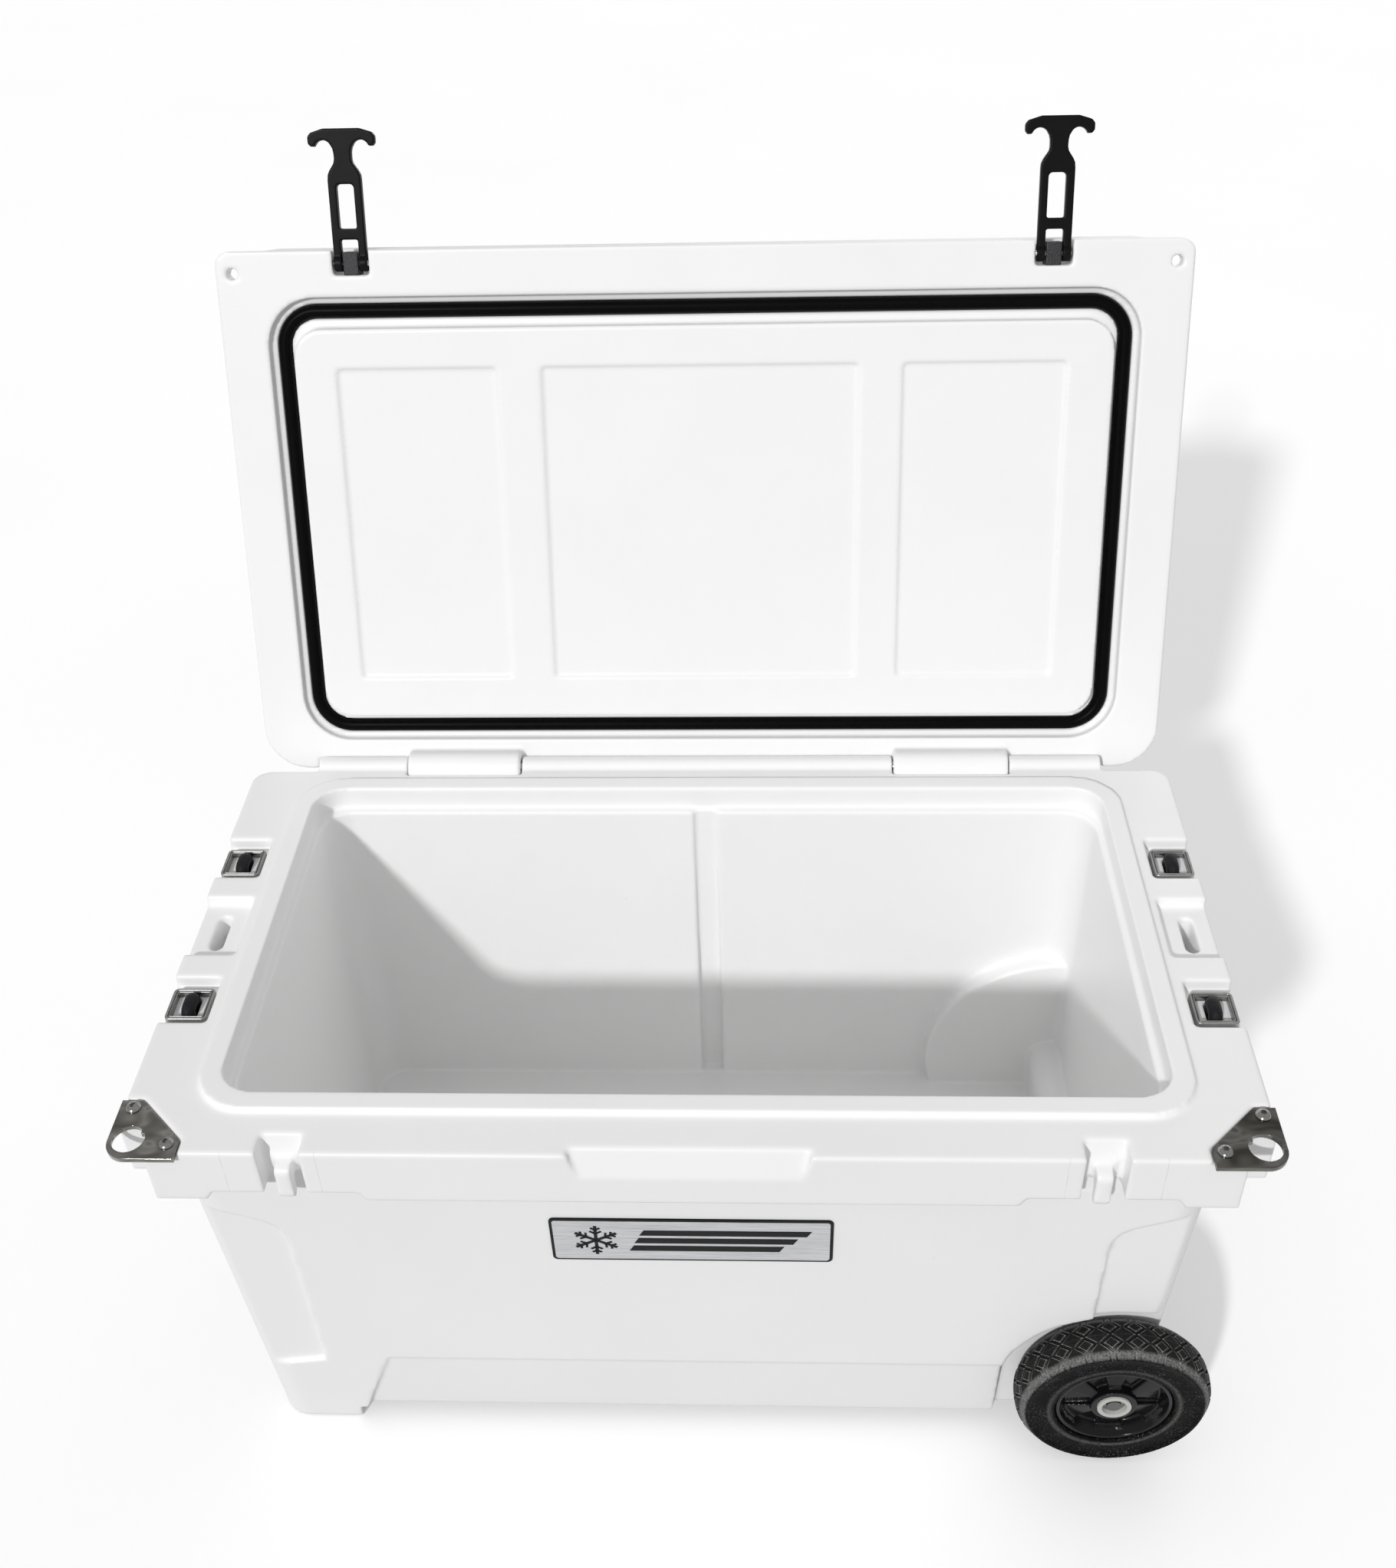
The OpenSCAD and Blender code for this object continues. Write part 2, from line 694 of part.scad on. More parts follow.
// Hanging part of each rope: two strands, two bends and the run inside the grip
module handle_rope() {
    z_grip = swing_z - grip_drop;
    y_in = hang_y - bend_r;
    color("black") translate([rope_x, handle_y, 0]) {
        for (k = [-1, 1]) {
            translate([0, k * hang_y, swing_z]) sphere(rope_r, $fn = 48);
            translate([0, k * hang_y, z_grip + bend_r]) cylinder(h = grip_drop - bend_r, r = rope_r, $fn = 48);
            translate([0, k * y_in, z_grip + bend_r]) rotate([90, 0, 90]) rotate([0, 0, k > 0 ? 270 : 180])
                rotate_extrude(angle = 90, $fn = 96) translate([bend_r, 0]) circle(rope_r, $fn = 48);
        }
        rod_y(-y_in, y_in, 0, z_grip, rope_r);
    }
}

module handle_rope_right() { handle_rope(); }

module handle_rope_left() { mirror([1, 0, 0]) handle_rope(); }

module handle_grip() {
    z_grip = swing_z - grip_drop;
    half = 52;
    color("black") translate([rope_x, handle_y + half, z_grip]) rotate([90, 0, 0]) difference() {
        rotate_extrude($fn = 64) polygon([[rope_r + 0.15, 0], [grip_d / 2 - 3, 0], [grip_d / 2, 4],
            [grip_d / 2, 2 * half - 4], [grip_d / 2 - 3, 2 * half], [rope_r + 0.15, 2 * half]]);
        for (k = [1 : 6]) translate([0, 0, k * 2 * half / 7]) rotate_extrude($fn = 64)
            translate([grip_d / 2 - 1, -1.5]) square([5, 3]);
    }
}

module handle_grip_right() { handle_grip(); }

module handle_grip_left() { mirror([1, 0, 0]) handle_grip(); }

// ---- small fittings ----

module nameplate() {
    centre_z = 260.9;
    color("silver") on_front(-0.05, 1.3) translate([-2, centre_z]) round_rect(-name_w / 2, -name_h / 2,
        name_w / 2, name_h / 2, 4);
}

// Flanged drain tube through the left end wall
module drain_fitting() {
    color("white") translate([-353, 0, drain_z]) rotate([0, 90, 0]) difference() {
        union() {
            translate([0, 0, -4]) cylinder(h = 4, r = 17, $fn = 64);
            cylinder(h = 36, r = 10.4, $fn = 64);
            translate([0, 0, -12]) cylinder(h = 9, r = 12, $fn = 64);
        }
        translate([0, 0, -20]) cylinder(h = 80, d = drain_bore_d, $fn = 48);
    }
}

// Hexagonal nut on the inner end of the drain tube
module drain_nut() {
    wall_x = -(cavity_bottom_w / 2 - 0.8);
    color("white") translate([wall_x + 2.5, 0, drain_z]) rotate([0, 90, 0]) difference() {
        cylinder(h = 6, d = 31, $fn = 6);
        translate([0, 0, -5]) cylinder(h = 20, r = 10.45, $fn = 64);
    }
}

module drain_seal() {
    color("black") translate([-356.9, 0, drain_z]) rotate([0, -90, 0]) difference() {
        translate([0, 0, 0.2]) cylinder(h = 2, r = 16, $fn = 64);
        translate([0, 0, -5]) cylinder(h = 20, r = 12.1, $fn = 64);
    }
}

// Screw cap over the drain, with finger flutes
module drain_cap() {
    color("white") translate([-359.4, 0, drain_z]) rotate([0, -90, 0]) difference() {
        cylinder(h = 13, r = 17, $fn = 64);
        translate([0, 0, -1]) cylinder(h = 9, r = 12.1, $fn = 64);
        for (k = [0 : 7]) rotate([0, 0, 45 * k]) translate([19.5, 0, -1]) cylinder(h = 20, r = 4, $fn = 32);
    }
}

// ---- wheels and axle ----

module axle() {
    half = wheel_face - 4.5;
    color("silver") difference() {
        rod_y(-half, half, axle_x, wheel_z, axle_d / 2);
        front_and_back() translate([axle_x, -half + 2.4, wheel_z]) rotate([-90, 0, 0]) difference() {
            cylinder(h = 1.2, r = axle_d, $fn = 48);
            translate([0, 0, -1]) cylinder(h = 4, r = axle_d / 2 - 0.9, $fn = 48);
        }
    }
}

// Spacer tubes between the arches and the hubs
module axle_spacers() {
    color("silver") front_and_back() difference() {
        rod_y(boss_inner - wheel_face + 0.3, -well_y - 0.2, axle_x, wheel_z, 10);
        rod_y(-well_y - 20, -well_y + 20, axle_x, wheel_z, axle_d / 2 + 0.1);
    }
}

// Retaining clips in the axle's grooves
module axle_clips() {
    y = wheel_face - 4.5 - 2.4;
    color("gray") front_and_back() difference() {
        rod_y(-y + 0.1, -y + 1.1, axle_x, wheel_z, 9);
        rod_y(-y - 5, -y + 5, axle_x, wheel_z, axle_d / 2 - 0.85);
        box(axle_x - 3, -y - 5, wheel_z - 20, axle_x + 3, -y + 5, wheel_z - 2);
    }
}

module front_wheel_place() {
    translate([axle_x, -wheel_face, wheel_z]) rotate([-90, 0, 0]) children();
}

module back_wheel_place() {
    translate([axle_x, wheel_face, wheel_z]) rotate([90, 0, 0]) children();
}

// Solid tyre: flat-bottomed bead, bulged sidewalls and a crowned tread
module tyre() {
    r = wheel_d / 2;
    w = wheel_w;
    color("black") rotate_extrude($fn = 96)
        polygon([[46, 5], [47, 2.5], [52, 1], [60, 0.5], [67, 0.6], [r - 4, 4.5], [r - 1.2, 10.5],
                 [r - 0.2, 15], [r, w / 2], [r - 0.2, w - 15], [r - 1.2, w - 10.5], [r - 4, w - 4.5],
                 [67, w - 0.6], [60, w - 0.5], [52, w - 1], [47, w - 2.5], [46, w - 5]]);
}

// Plastic hub: rim, dished web, boss and six raised pads
module hub() {
    w = wheel_w;
    color("black") difference() {
        union() {
            rotate_extrude($fn = 96) polygon([[45.95, 5.4], [45.95, w - 5.4], [44.5, w - 4], [41.5, w - 4],
                [40.5, w - 8], [39, 21], [18, 21], [18, boss_inner], [8, boss_inner], [8, 4.5], [18, 4.5],
                [18.6, 13], [37.5, 15.5], [42.5, 4], [44.5, 4]]);
            for (k = [0 : 5]) rotate([0, 0, 60 * k - 92]) translate([0, 0, 8.5]) linear_extrude(11)
                polygon([[17, -4.4], [38.2, -10.2], [39.5, 0], [38.2, 10.2], [17, 4.4]]);
        }
        rotate_extrude($fn = 96) polygon([[18.7, -5], [18.7, 9], [38, 12.5], [41.4, 4], [41.4, -5]]);
        translate([0, 0, -1]) cylinder(h = 11.1, r = 13.32, $fn = 64);
        translate([0, 0, -1]) cylinder(h = 60, r = 10, $fn = 64);
    }
}

// Nylon bushes: a cupped one at the outer end of the hub and a plain one at the inner end
module bushes() {
    running_r = axle_d / 2 + 0.07;
    color("ivory") difference() {
        union() {
            translate([0, 0, 3]) cylinder(h = 7, r = 13.3, $fn = 64);
            translate([0, 0, 9]) cylinder(h = 9, r = 9.97, $fn = 64);
        }
        translate([0, 0, 0]) cylinder(h = 8.2, r = 9.6, $fn = 64);
        translate([0, 0, -1]) cylinder(h = 40, r = running_r, $fn = 64);
    }
    color("ivory") difference() {
        translate([0, 0, 22]) cylinder(h = boss_inner - 22, r = 9.97, $fn = 64);
        translate([0, 0, 10]) cylinder(h = 40, r = running_r, $fn = 64);
    }
}

module tyre_front() { front_wheel_place() tyre(); }

module hub_front() { front_wheel_place() hub(); }

module bushes_front() { front_wheel_place() bushes(); }

module tyre_back() { back_wheel_place() tyre(); }

module hub_back() { back_wheel_place() hub(); }

module bushes_back() { back_wheel_place() bushes(); }

tub_shell();
tub_foam();
tub_fill_plugs();
lid_shell();
lid_foam();
lid_fill_plugs();
lid_gasket();
hinge_pins();
latch_left();
latch_right();
latch_mounts();
latch_pins();
corner_plate_left();
corner_plate_right();
plate_screws();
rope_frames();
rope_ends();
handle_rope_left();
handle_rope_right();
handle_grip_left();
handle_grip_right();
nameplate();
drain_fitting();
drain_nut();
drain_seal();
drain_cap();
axle();
axle_spacers();
axle_clips();
tyre_front();
hub_front();
bushes_front();
tyre_back();
hub_back();
bushes_back();
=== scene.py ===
import math

import bmesh
import bpy
from mathutils import Matrix, Vector


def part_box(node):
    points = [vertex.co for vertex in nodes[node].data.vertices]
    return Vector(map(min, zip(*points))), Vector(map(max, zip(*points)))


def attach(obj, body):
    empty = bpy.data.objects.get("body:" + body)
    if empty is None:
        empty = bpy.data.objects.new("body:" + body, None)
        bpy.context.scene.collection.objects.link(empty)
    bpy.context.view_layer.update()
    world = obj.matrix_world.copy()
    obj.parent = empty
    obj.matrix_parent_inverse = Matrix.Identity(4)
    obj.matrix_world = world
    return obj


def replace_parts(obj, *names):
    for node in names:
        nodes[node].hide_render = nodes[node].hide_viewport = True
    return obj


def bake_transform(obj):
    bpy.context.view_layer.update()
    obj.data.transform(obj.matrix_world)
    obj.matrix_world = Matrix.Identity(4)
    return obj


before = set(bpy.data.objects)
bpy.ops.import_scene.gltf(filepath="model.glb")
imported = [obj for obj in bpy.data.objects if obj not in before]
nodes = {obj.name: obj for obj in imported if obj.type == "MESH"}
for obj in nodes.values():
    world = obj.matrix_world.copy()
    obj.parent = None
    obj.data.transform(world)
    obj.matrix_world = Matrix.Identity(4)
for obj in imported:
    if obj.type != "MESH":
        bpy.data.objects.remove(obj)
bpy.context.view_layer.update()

MM = 0.001
WELD = 1e-6          # metres, the distance at which doubled CAD vertices merge


# ---------------------------------------------------------------- node material helpers

def new_mat(name):
    m = bpy.data.materials.new(name)
    m.use_nodes = True
    nt = m.node_tree
    return m, nt, nt.nodes["Principled BSDF"]


def put(nt, kind, **kw):
    """A new node, with inputs set by name and anything else set as a property."""
    n = nt.nodes.new(kind)
    for k, v in kw.items():
        if k in n.inputs.keys():
            n.inputs[k].default_value = v
        else:
            setattr(n, k, v)
    return n


def wire(nt, a, b):
    nt.links.new(a, b)


def math_node(nt, op, a, b=None, c=None, clamp=False):
    n = nt.nodes.new("ShaderNodeMath")
    n.operation = op
    n.use_clamp = clamp
    for i, v in enumerate((a, b, c)):
        if v is None:
            continue
        if isinstance(v, (int, float)):
            n.inputs[i].default_value = v
        else:
            wire(nt, v, n.inputs[i])
    return n.outputs[0]


def ramp(nt, fac, stops):
    """A colour ramp through (position, grey or RGB) stops."""
    r = nt.nodes.new("ShaderNodeValToRGB")
    els = r.color_ramp.elements
    while len(els) < len(stops):
        els.new(0.5)
    for e, (p, c) in zip(els, stops):
        e.position = p
        e.color = (c, c, c, 1) if isinstance(c, (int, float)) else (*c, 1)
    wire(nt, fac, r.inputs[0])
    return r.outputs[0]


def coords(nt, scale=(1, 1, 1)):
    """Scaled object coordinates, and the node they come from."""
    tc = nt.nodes.new("ShaderNodeTexCoord")
    mp = nt.nodes.new("ShaderNodeMapping")
    mp.inputs["Scale"].default_value = scale
    wire(nt, tc.outputs["Object"], mp.inputs["Vector"])
    return mp.outputs[0], tc


def tex_noise(nt, vec, scale, detail=2.0, rough=0.5):
    n = put(nt, "ShaderNodeTexNoise", Scale=scale, Detail=detail, Roughness=rough)
    wire(nt, vec, n.inputs["Vector"])
    return n.outputs["Fac"]


def bumps(nt, bsdf, layers):
    """layers: (height socket, strength, distance in metres), from the largest to the finest"""
    last = None
    for h, strength, dist in layers:
        b = put(nt, "ShaderNodeBump", Strength=strength, Distance=dist)
        wire(nt, h, b.inputs["Height"])
        if last is not None:
            wire(nt, last, b.inputs["Normal"])
        last = b.outputs[0]
    wire(nt, last, bsdf.inputs["Normal"])


def mix_rgb(nt, fac, a, b):
    m = nt.nodes.new("ShaderNodeMix")
    m.data_type = "RGBA"
    for i, v in ((0, fac), (6, a), (7, b)):
        if isinstance(v, (int, float)):
            m.inputs[i].default_value = v
        elif isinstance(v, tuple):
            m.inputs[i].default_value = (*v, 1)
        else:
            wire(nt, v, m.inputs[i])
    return m.outputs[2]


# ---------------------------------------------------------------- materials

SEAM_AT = (0.3235, 0.2575)      # metres either side of the middle
SEAM_HALF = 0.00022
SEAM_FRONT_OF = -0.2205         # only on the rim's front face ...
SEAM_ABOVE = 0.330              # ... and above its lower edge


def white_plastic(name, base, seams=False, rough=0.40):
    """Rotomoulded polyethylene: faint cloudy tone, fine orange peel, polished edges, rare specks."""
    m, nt, b = new_mat(name)
    v, tc = coords(nt)
    cloud = tex_noise(nt, v, 9.0, 3.0, 0.55)
    peel = tex_noise(nt, v, 420.0, 2.0, 0.55)
    grain = tex_noise(nt, v, 1500.0, 2.0, 0.6)
    tone = ramp(nt, cloud, [(0.25, tuple(c * 0.975 for c in base)), (0.75, base)])
    # rare dark specks moulded into the skin
    vor = put(nt, "ShaderNodeTexVoronoi", Scale=34.0)
    wire(nt, v, vor.inputs["Vector"])
    pick = ramp(nt, tex_noise(nt, v, 61.0, 0.0), [(0.70, 0.0), (0.72, 1.0)])
    speck = math_node(nt, "MULTIPLY", math_node(nt, "LESS_THAN", vor.outputs["Distance"], 0.016), pick)
    col = mix_rgb(nt, math_node(nt, "MULTIPLY", speck, 0.55), tone, (0.20, 0.19, 0.17))
    geo = nt.nodes.new("ShaderNodeNewGeometry")
    edge = ramp(nt, geo.outputs["Pointiness"], [(0.485, 0.0), (0.55, 1.0)])
    if seams:
        # hairline tool marks on the front of the rim, either side of the two keepers
        sep = nt.nodes.new("ShaderNodeSeparateXYZ")
        wire(nt, tc.outputs["Object"], sep.inputs[0])
        ax = math_node(nt, "ABSOLUTE", sep.outputs[0])
        mask = None
        for x in SEAM_AT:
            off = math_node(nt, "ABSOLUTE", math_node(nt, "SUBTRACT", ax, x))
            near = math_node(nt, "LESS_THAN", off, SEAM_HALF)
            mask = near if mask is None else math_node(nt, "ADD", mask, near)
        mask = math_node(nt, "MULTIPLY", mask, math_node(nt, "LESS_THAN", sep.outputs[1], SEAM_FRONT_OF))
        mask = math_node(nt, "MULTIPLY", mask, math_node(nt, "GREATER_THAN", sep.outputs[2], SEAM_ABOVE))
        faint = ramp(nt, tex_noise(nt, v, 90.0, 1.0), [(0.35, 0.25), (0.6, 1.0)])
        mask = math_node(nt, "MULTIPLY", mask, faint)
        col = mix_rgb(nt, math_node(nt, "MULTIPLY", mask, 0.30), col, (0.30, 0.29, 0.27))
    wire(nt, col, b.inputs["Base Color"])
    r = math_node(nt, "MULTIPLY_ADD", cloud, 0.10, rough - 0.04)
    r = math_node(nt, "MULTIPLY_ADD", edge, -0.07, r)
    wire(nt, r, b.inputs["Roughness"])
    b.inputs["IOR"].default_value = 1.5
    b.inputs["Specular IOR Level"].default_value = 0.42
    bumps(nt, b, [(peel, 0.10, 0.0004), (grain, 0.12, 0.00012)])
    return m


def black_rubber(name, base=0.012, rough=0.42, grain=0.25, dust=0.03, shine=0.26):
    """Black moulded rubber or ink, a little dusty, with a fine pitted grain."""
    m, nt, b = new_mat(name)
    v, _ = coords(nt)
    big = tex_noise(nt, v, 60.0, 3.0)
    fine = tex_noise(nt, v, 1800.0, 3.0, 0.65)
    pits = tex_noise(nt, v, 600.0, 2.0)
    dusty = ramp(nt, tex_noise(nt, v, 240.0, 5.0, 0.7), [(0.50, 0.0), (0.80, 1.0)])
    col = mix_rgb(nt, math_node(nt, "MULTIPLY", dusty, dust * 8, clamp=True),
                  (base, base, base * 1.04), (base * 3.2, base * 3.1, base * 3.0))
    wire(nt, col, b.inputs["Base Color"])
    wire(nt, math_node(nt, "MULTIPLY_ADD", big, 0.16, rough - 0.08), b.inputs["Roughness"])
    b.inputs["Specular IOR Level"].default_value = shine
    bumps(nt, b, [(pits, grain * 0.5, 0.0003), (fine, grain, 0.00015)])
    return m


def textured_plastic(name):
    """Black nylon with a coarse spark-eroded grain."""
    m, nt, b = new_mat(name)
    v, _ = coords(nt)
    vor = put(nt, "ShaderNodeTexVoronoi", Scale=1100.0)
    wire(nt, v, vor.inputs["Vector"])
    n = tex_noise(nt, v, 900.0, 3.0, 0.7)
    col = ramp(nt, vor.outputs["Distance"], [(0.0, (0.030, 0.030, 0.036)), (0.7, (0.006, 0.006, 0.008))])
    wire(nt, col, b.inputs["Base Color"])
    wire(nt, math_node(nt, "MULTIPLY_ADD", n, 0.25, 0.36), b.inputs["Roughness"])
    bumps(nt, b, [(vor.outputs["Distance"], 0.55, 0.0004), (n, 0.25, 0.0001)])
    return m


def steel(name, base=(0.46, 0.455, 0.44), rough=0.24, streak=(900, 30, 900), bump=0.10):
    """Stainless steel with fine directional brushing and faint handling marks."""
    m, nt, b = new_mat(name)
    v, _ = coords(nt, tuple(float(s) for s in streak))
    brush = tex_noise(nt, v, 1.0, 3.0, 0.7)
    w, _ = coords(nt)
    smear = tex_noise(nt, w, 70.0, 4.0, 0.6)
    dark, light = tuple(c * 0.80 for c in base), tuple(min(1, c * 1.15) for c in base)
    col = ramp(nt, brush, [(0.25, dark), (0.75, light)])
    wire(nt, col, b.inputs["Base Color"])
    b.inputs["Metallic"].default_value = 1.0
    r = math_node(nt, "MULTIPLY_ADD", smear, 0.16, rough - 0.08)
    wire(nt, math_node(nt, "MULTIPLY_ADD", brush, 0.08, r), b.inputs["Roughness"])
    bumps(nt, b, [(brush, bump, 0.00006)])
    return m


def polished(name, k=1.0, shift=0.0):
    """Polished stainless plate: near-mirror, its colour painted with reflections in broad bronze-to-grey
    shifts, which k darkens and shift moves along, and with hair scratches.
    """
    m, nt, b = new_mat(name)
    v, _ = coords(nt, (30.0, 52.0, 52.0))
    v.node.inputs["Location"].default_value = (shift, 0, 0)
    # painted reflection: broad bronze-to-grey shifts in the base colour stand in for the surroundings
    # mirrored in the plate
    tone = put(nt, "ShaderNodeTexNoise", Scale=1.0, Detail=1.0, Roughness=0.4, Distortion=1.6)
    wire(nt, v, tone.inputs["Vector"])
    stops = ((0.30, (0.13, 0.122, 0.105)), (0.52, (0.27, 0.262, 0.24)),
             (0.64, (0.40, 0.395, 0.375)), (0.78, (0.20, 0.19, 0.17)))
    col = ramp(nt, tone.outputs["Fac"], [(p, tuple(x * k for x in c)) for p, c in stops])
    wire(nt, col, b.inputs["Base Color"])
    b.inputs["Metallic"].default_value = 1.0
    s, _ = coords(nt, (90.0, 2200.0, 90.0))
    hair = ramp(nt, tex_noise(nt, s, 1.0, 3.0, 0.8), [(0.60, 0.0), (0.72, 1.0)])
    wire(nt, math_node(nt, "MULTIPLY_ADD", hair, 0.10, 0.10), b.inputs["Roughness"])
    bumps(nt, b, [(tone.outputs["Fac"], 0.12, 0.0010), (hair, 0.05, 0.00003)])
    return m


def woven(name):
    """Black polyester: braid() models the strands, this adds the yarn's filaments and a soft sheen."""
    m, nt, b = new_mat(name)
    v, _ = coords(nt)
    fil = tex_noise(nt, v, 2600.0, 2.0, 0.7)
    big = tex_noise(nt, v, 160.0, 2.0)
    col = mix_rgb(nt, big, (0.004, 0.004, 0.0055), (0.011, 0.011, 0.014))
    wire(nt, col, b.inputs["Base Color"])
    b.inputs["Roughness"].default_value = 0.62
    b.inputs["Specular IOR Level"].default_value = 0.25
    b.inputs["Sheen Weight"].default_value = 0.12
    b.inputs["Sheen Roughness"].default_value = 0.4
    bumps(nt, b, [(fil, 0.5, 0.0002)])
    return m


def brushed_plate(name):
    """Brushed metal foil with its lines running along the plate."""
    m, nt, b = new_mat(name)
    v, _ = coords(nt, (14.0, 60.0, 2600.0))
    lines = tex_noise(nt, v, 1.0, 4.0, 0.75)
    w, _ = coords(nt, (60.0, 200.0, 3800.0))
    lines2 = tex_noise(nt, w, 1.0, 2.0, 0.6)
    mix = math_node(nt, "MULTIPLY_ADD", lines2, 0.45, math_node(nt, "MULTIPLY", lines, 0.75))
    col = ramp(nt, mix, [(0.38, (0.28, 0.285, 0.295)), (0.60, (0.56, 0.565, 0.58)),
                         (0.78, (0.74, 0.745, 0.76))])
    wire(nt, col, b.inputs["Base Color"])
    b.inputs["Metallic"].default_value = 0.75
    wire(nt, math_node(nt, "MULTIPLY_ADD", mix, 0.2, 0.28), b.inputs["Roughness"])
    bumps(nt, b, [(mix, 0.15, 0.00006)])
    return m


def tyre_rubber(name, cx, cz):
    """Moulded rubber: near-black sidewalls with dust specks, a painted sheen on the shoulders, block edges
    paled by wear and by painted highlights.

    cx, cz is the wheel's centre. Zones are laid out by radius."""
    m, nt, b = new_mat(name)
    v, tc = coords(nt)
    fine = tex_noise(nt, v, 1300.0, 4.0, 0.7)
    blot = tex_noise(nt, v, 55.0, 5.0, 0.65)
    spot = tex_noise(nt, v, 700.0, 4.0, 0.8)
    sep = nt.nodes.new("ShaderNodeSeparateXYZ")
    wire(nt, tc.outputs["Object"], sep.inputs[0])
    dx = math_node(nt, "SUBTRACT", sep.outputs[0], cx)
    dz = math_node(nt, "SUBTRACT", sep.outputs[2], cz)
    r = math_node(nt, "SQRT", math_node(nt, "MULTIPLY_ADD", dx, dx, math_node(nt, "MULTIPLY", dz, dz)))
    r = math_node(nt, "MULTIPLY_ADD", r, 50.0, -3.0)     # 0 at radius 60 mm, 1 at 80 mm
    shoulder = ramp(nt, r, [(0.44, 0.0), (0.52, 1.0), (0.62, 1.0), (0.70, 0.0)])
    tread = ramp(nt, r, [(0.62, 0.0), (0.70, 1.0)])
    d = math_node(nt, "MULTIPLY", ramp(nt, blot, [(0.40, 0.08), (0.64, 1.0)]),
                  ramp(nt, spot, [(0.54, 0.0), (0.66, 1.0)]))
    # dust held by the moulded ring next to the hub
    ring = ramp(nt, math_node(nt, "ABSOLUTE", math_node(nt, "ADD", r, 0.46)),
                [(0.0, 0.8), (0.06, 0.45), (0.14, 0.0)])
    ring = math_node(nt, "MULTIPLY", ring, ramp(nt, spot, [(0.36, 0.2), (0.60, 1.0)]))
    d = math_node(nt, "MAXIMUM", d, ring)
    col = mix_rgb(nt, math_node(nt, "MULTIPLY", d, 0.85), (0.003, 0.003, 0.0032), (0.17, 0.169, 0.163))
    grey = math_node(nt, "MULTIPLY", tread, ramp(nt, spot, [(0.35, 0.45), (0.65, 1.0)]))
    col = mix_rgb(nt, grey, col, (0.022, 0.0219, 0.0215))
    # painted sheen: a pale band round the shoulders, made patchy by noise
    painted_shoulder_sheen = math_node(nt, "MULTIPLY", shoulder, ramp(nt, spot, [(0.38, 0.25), (0.62, 1.0)]))
    col = mix_rgb(nt, math_node(nt, "MULTIPLY", painted_shoulder_sheen, 0.85), col, (0.27, 0.269, 0.264))
    geo = nt.nodes.new("ShaderNodeNewGeometry")
    # pale block edges: partly wear, partly painted highlights along the edges
    wear_and_highlight = math_node(nt, "MULTIPLY", ramp(nt, geo.outputs["Pointiness"], [(0.515, 0.0), (0.56, 1.0)]),
                     ramp(nt, r, [(0.50, 0.0), (0.60, 1.0)]))
    wear_and_highlight = math_node(nt, "MULTIPLY", wear_and_highlight, ramp(nt, blot, [(0.35, 0.35), (0.60, 1.0)]))
    col = mix_rgb(nt, math_node(nt, "MULTIPLY", wear_and_highlight, 0.85), col, (0.42, 0.418, 0.41))
    wire(nt, col, b.inputs["Base Color"])
    wire(nt, math_node(nt, "MULTIPLY_ADD", blot, 0.22, 0.34), b.inputs["Roughness"])
    b.inputs["Specular IOR Level"].default_value = 0.04
    bumps(nt, b, [(spot, 0.22, 0.0004), (fine, 0.25, 0.00015)])
    return m


def gloss_plastic(name):
    """Glossy black moulded plastic with a little dust."""
    m, nt, b = new_mat(name)
    v, _ = coords(nt)
    wav = tex_noise(nt, v, 120.0, 2.0)
    dust = ramp(nt, tex_noise(nt, v, 1100.0, 3.0, 0.8), [(0.60, 0.0), (0.74, 1.0)])
    col = mix_rgb(nt, math_node(nt, "MULTIPLY", dust, 0.5), (0.006, 0.006, 0.007), (0.045, 0.044, 0.043))
    wire(nt, col, b.inputs["Base Color"])
    wire(nt, math_node(nt, "MULTIPLY_ADD", dust, 0.25, 0.17), b.inputs["Roughness"])
    b.inputs["Specular IOR Level"].default_value = 0.24
    bumps(nt, b, [(wav, 0.06, 0.0008)])
    return m


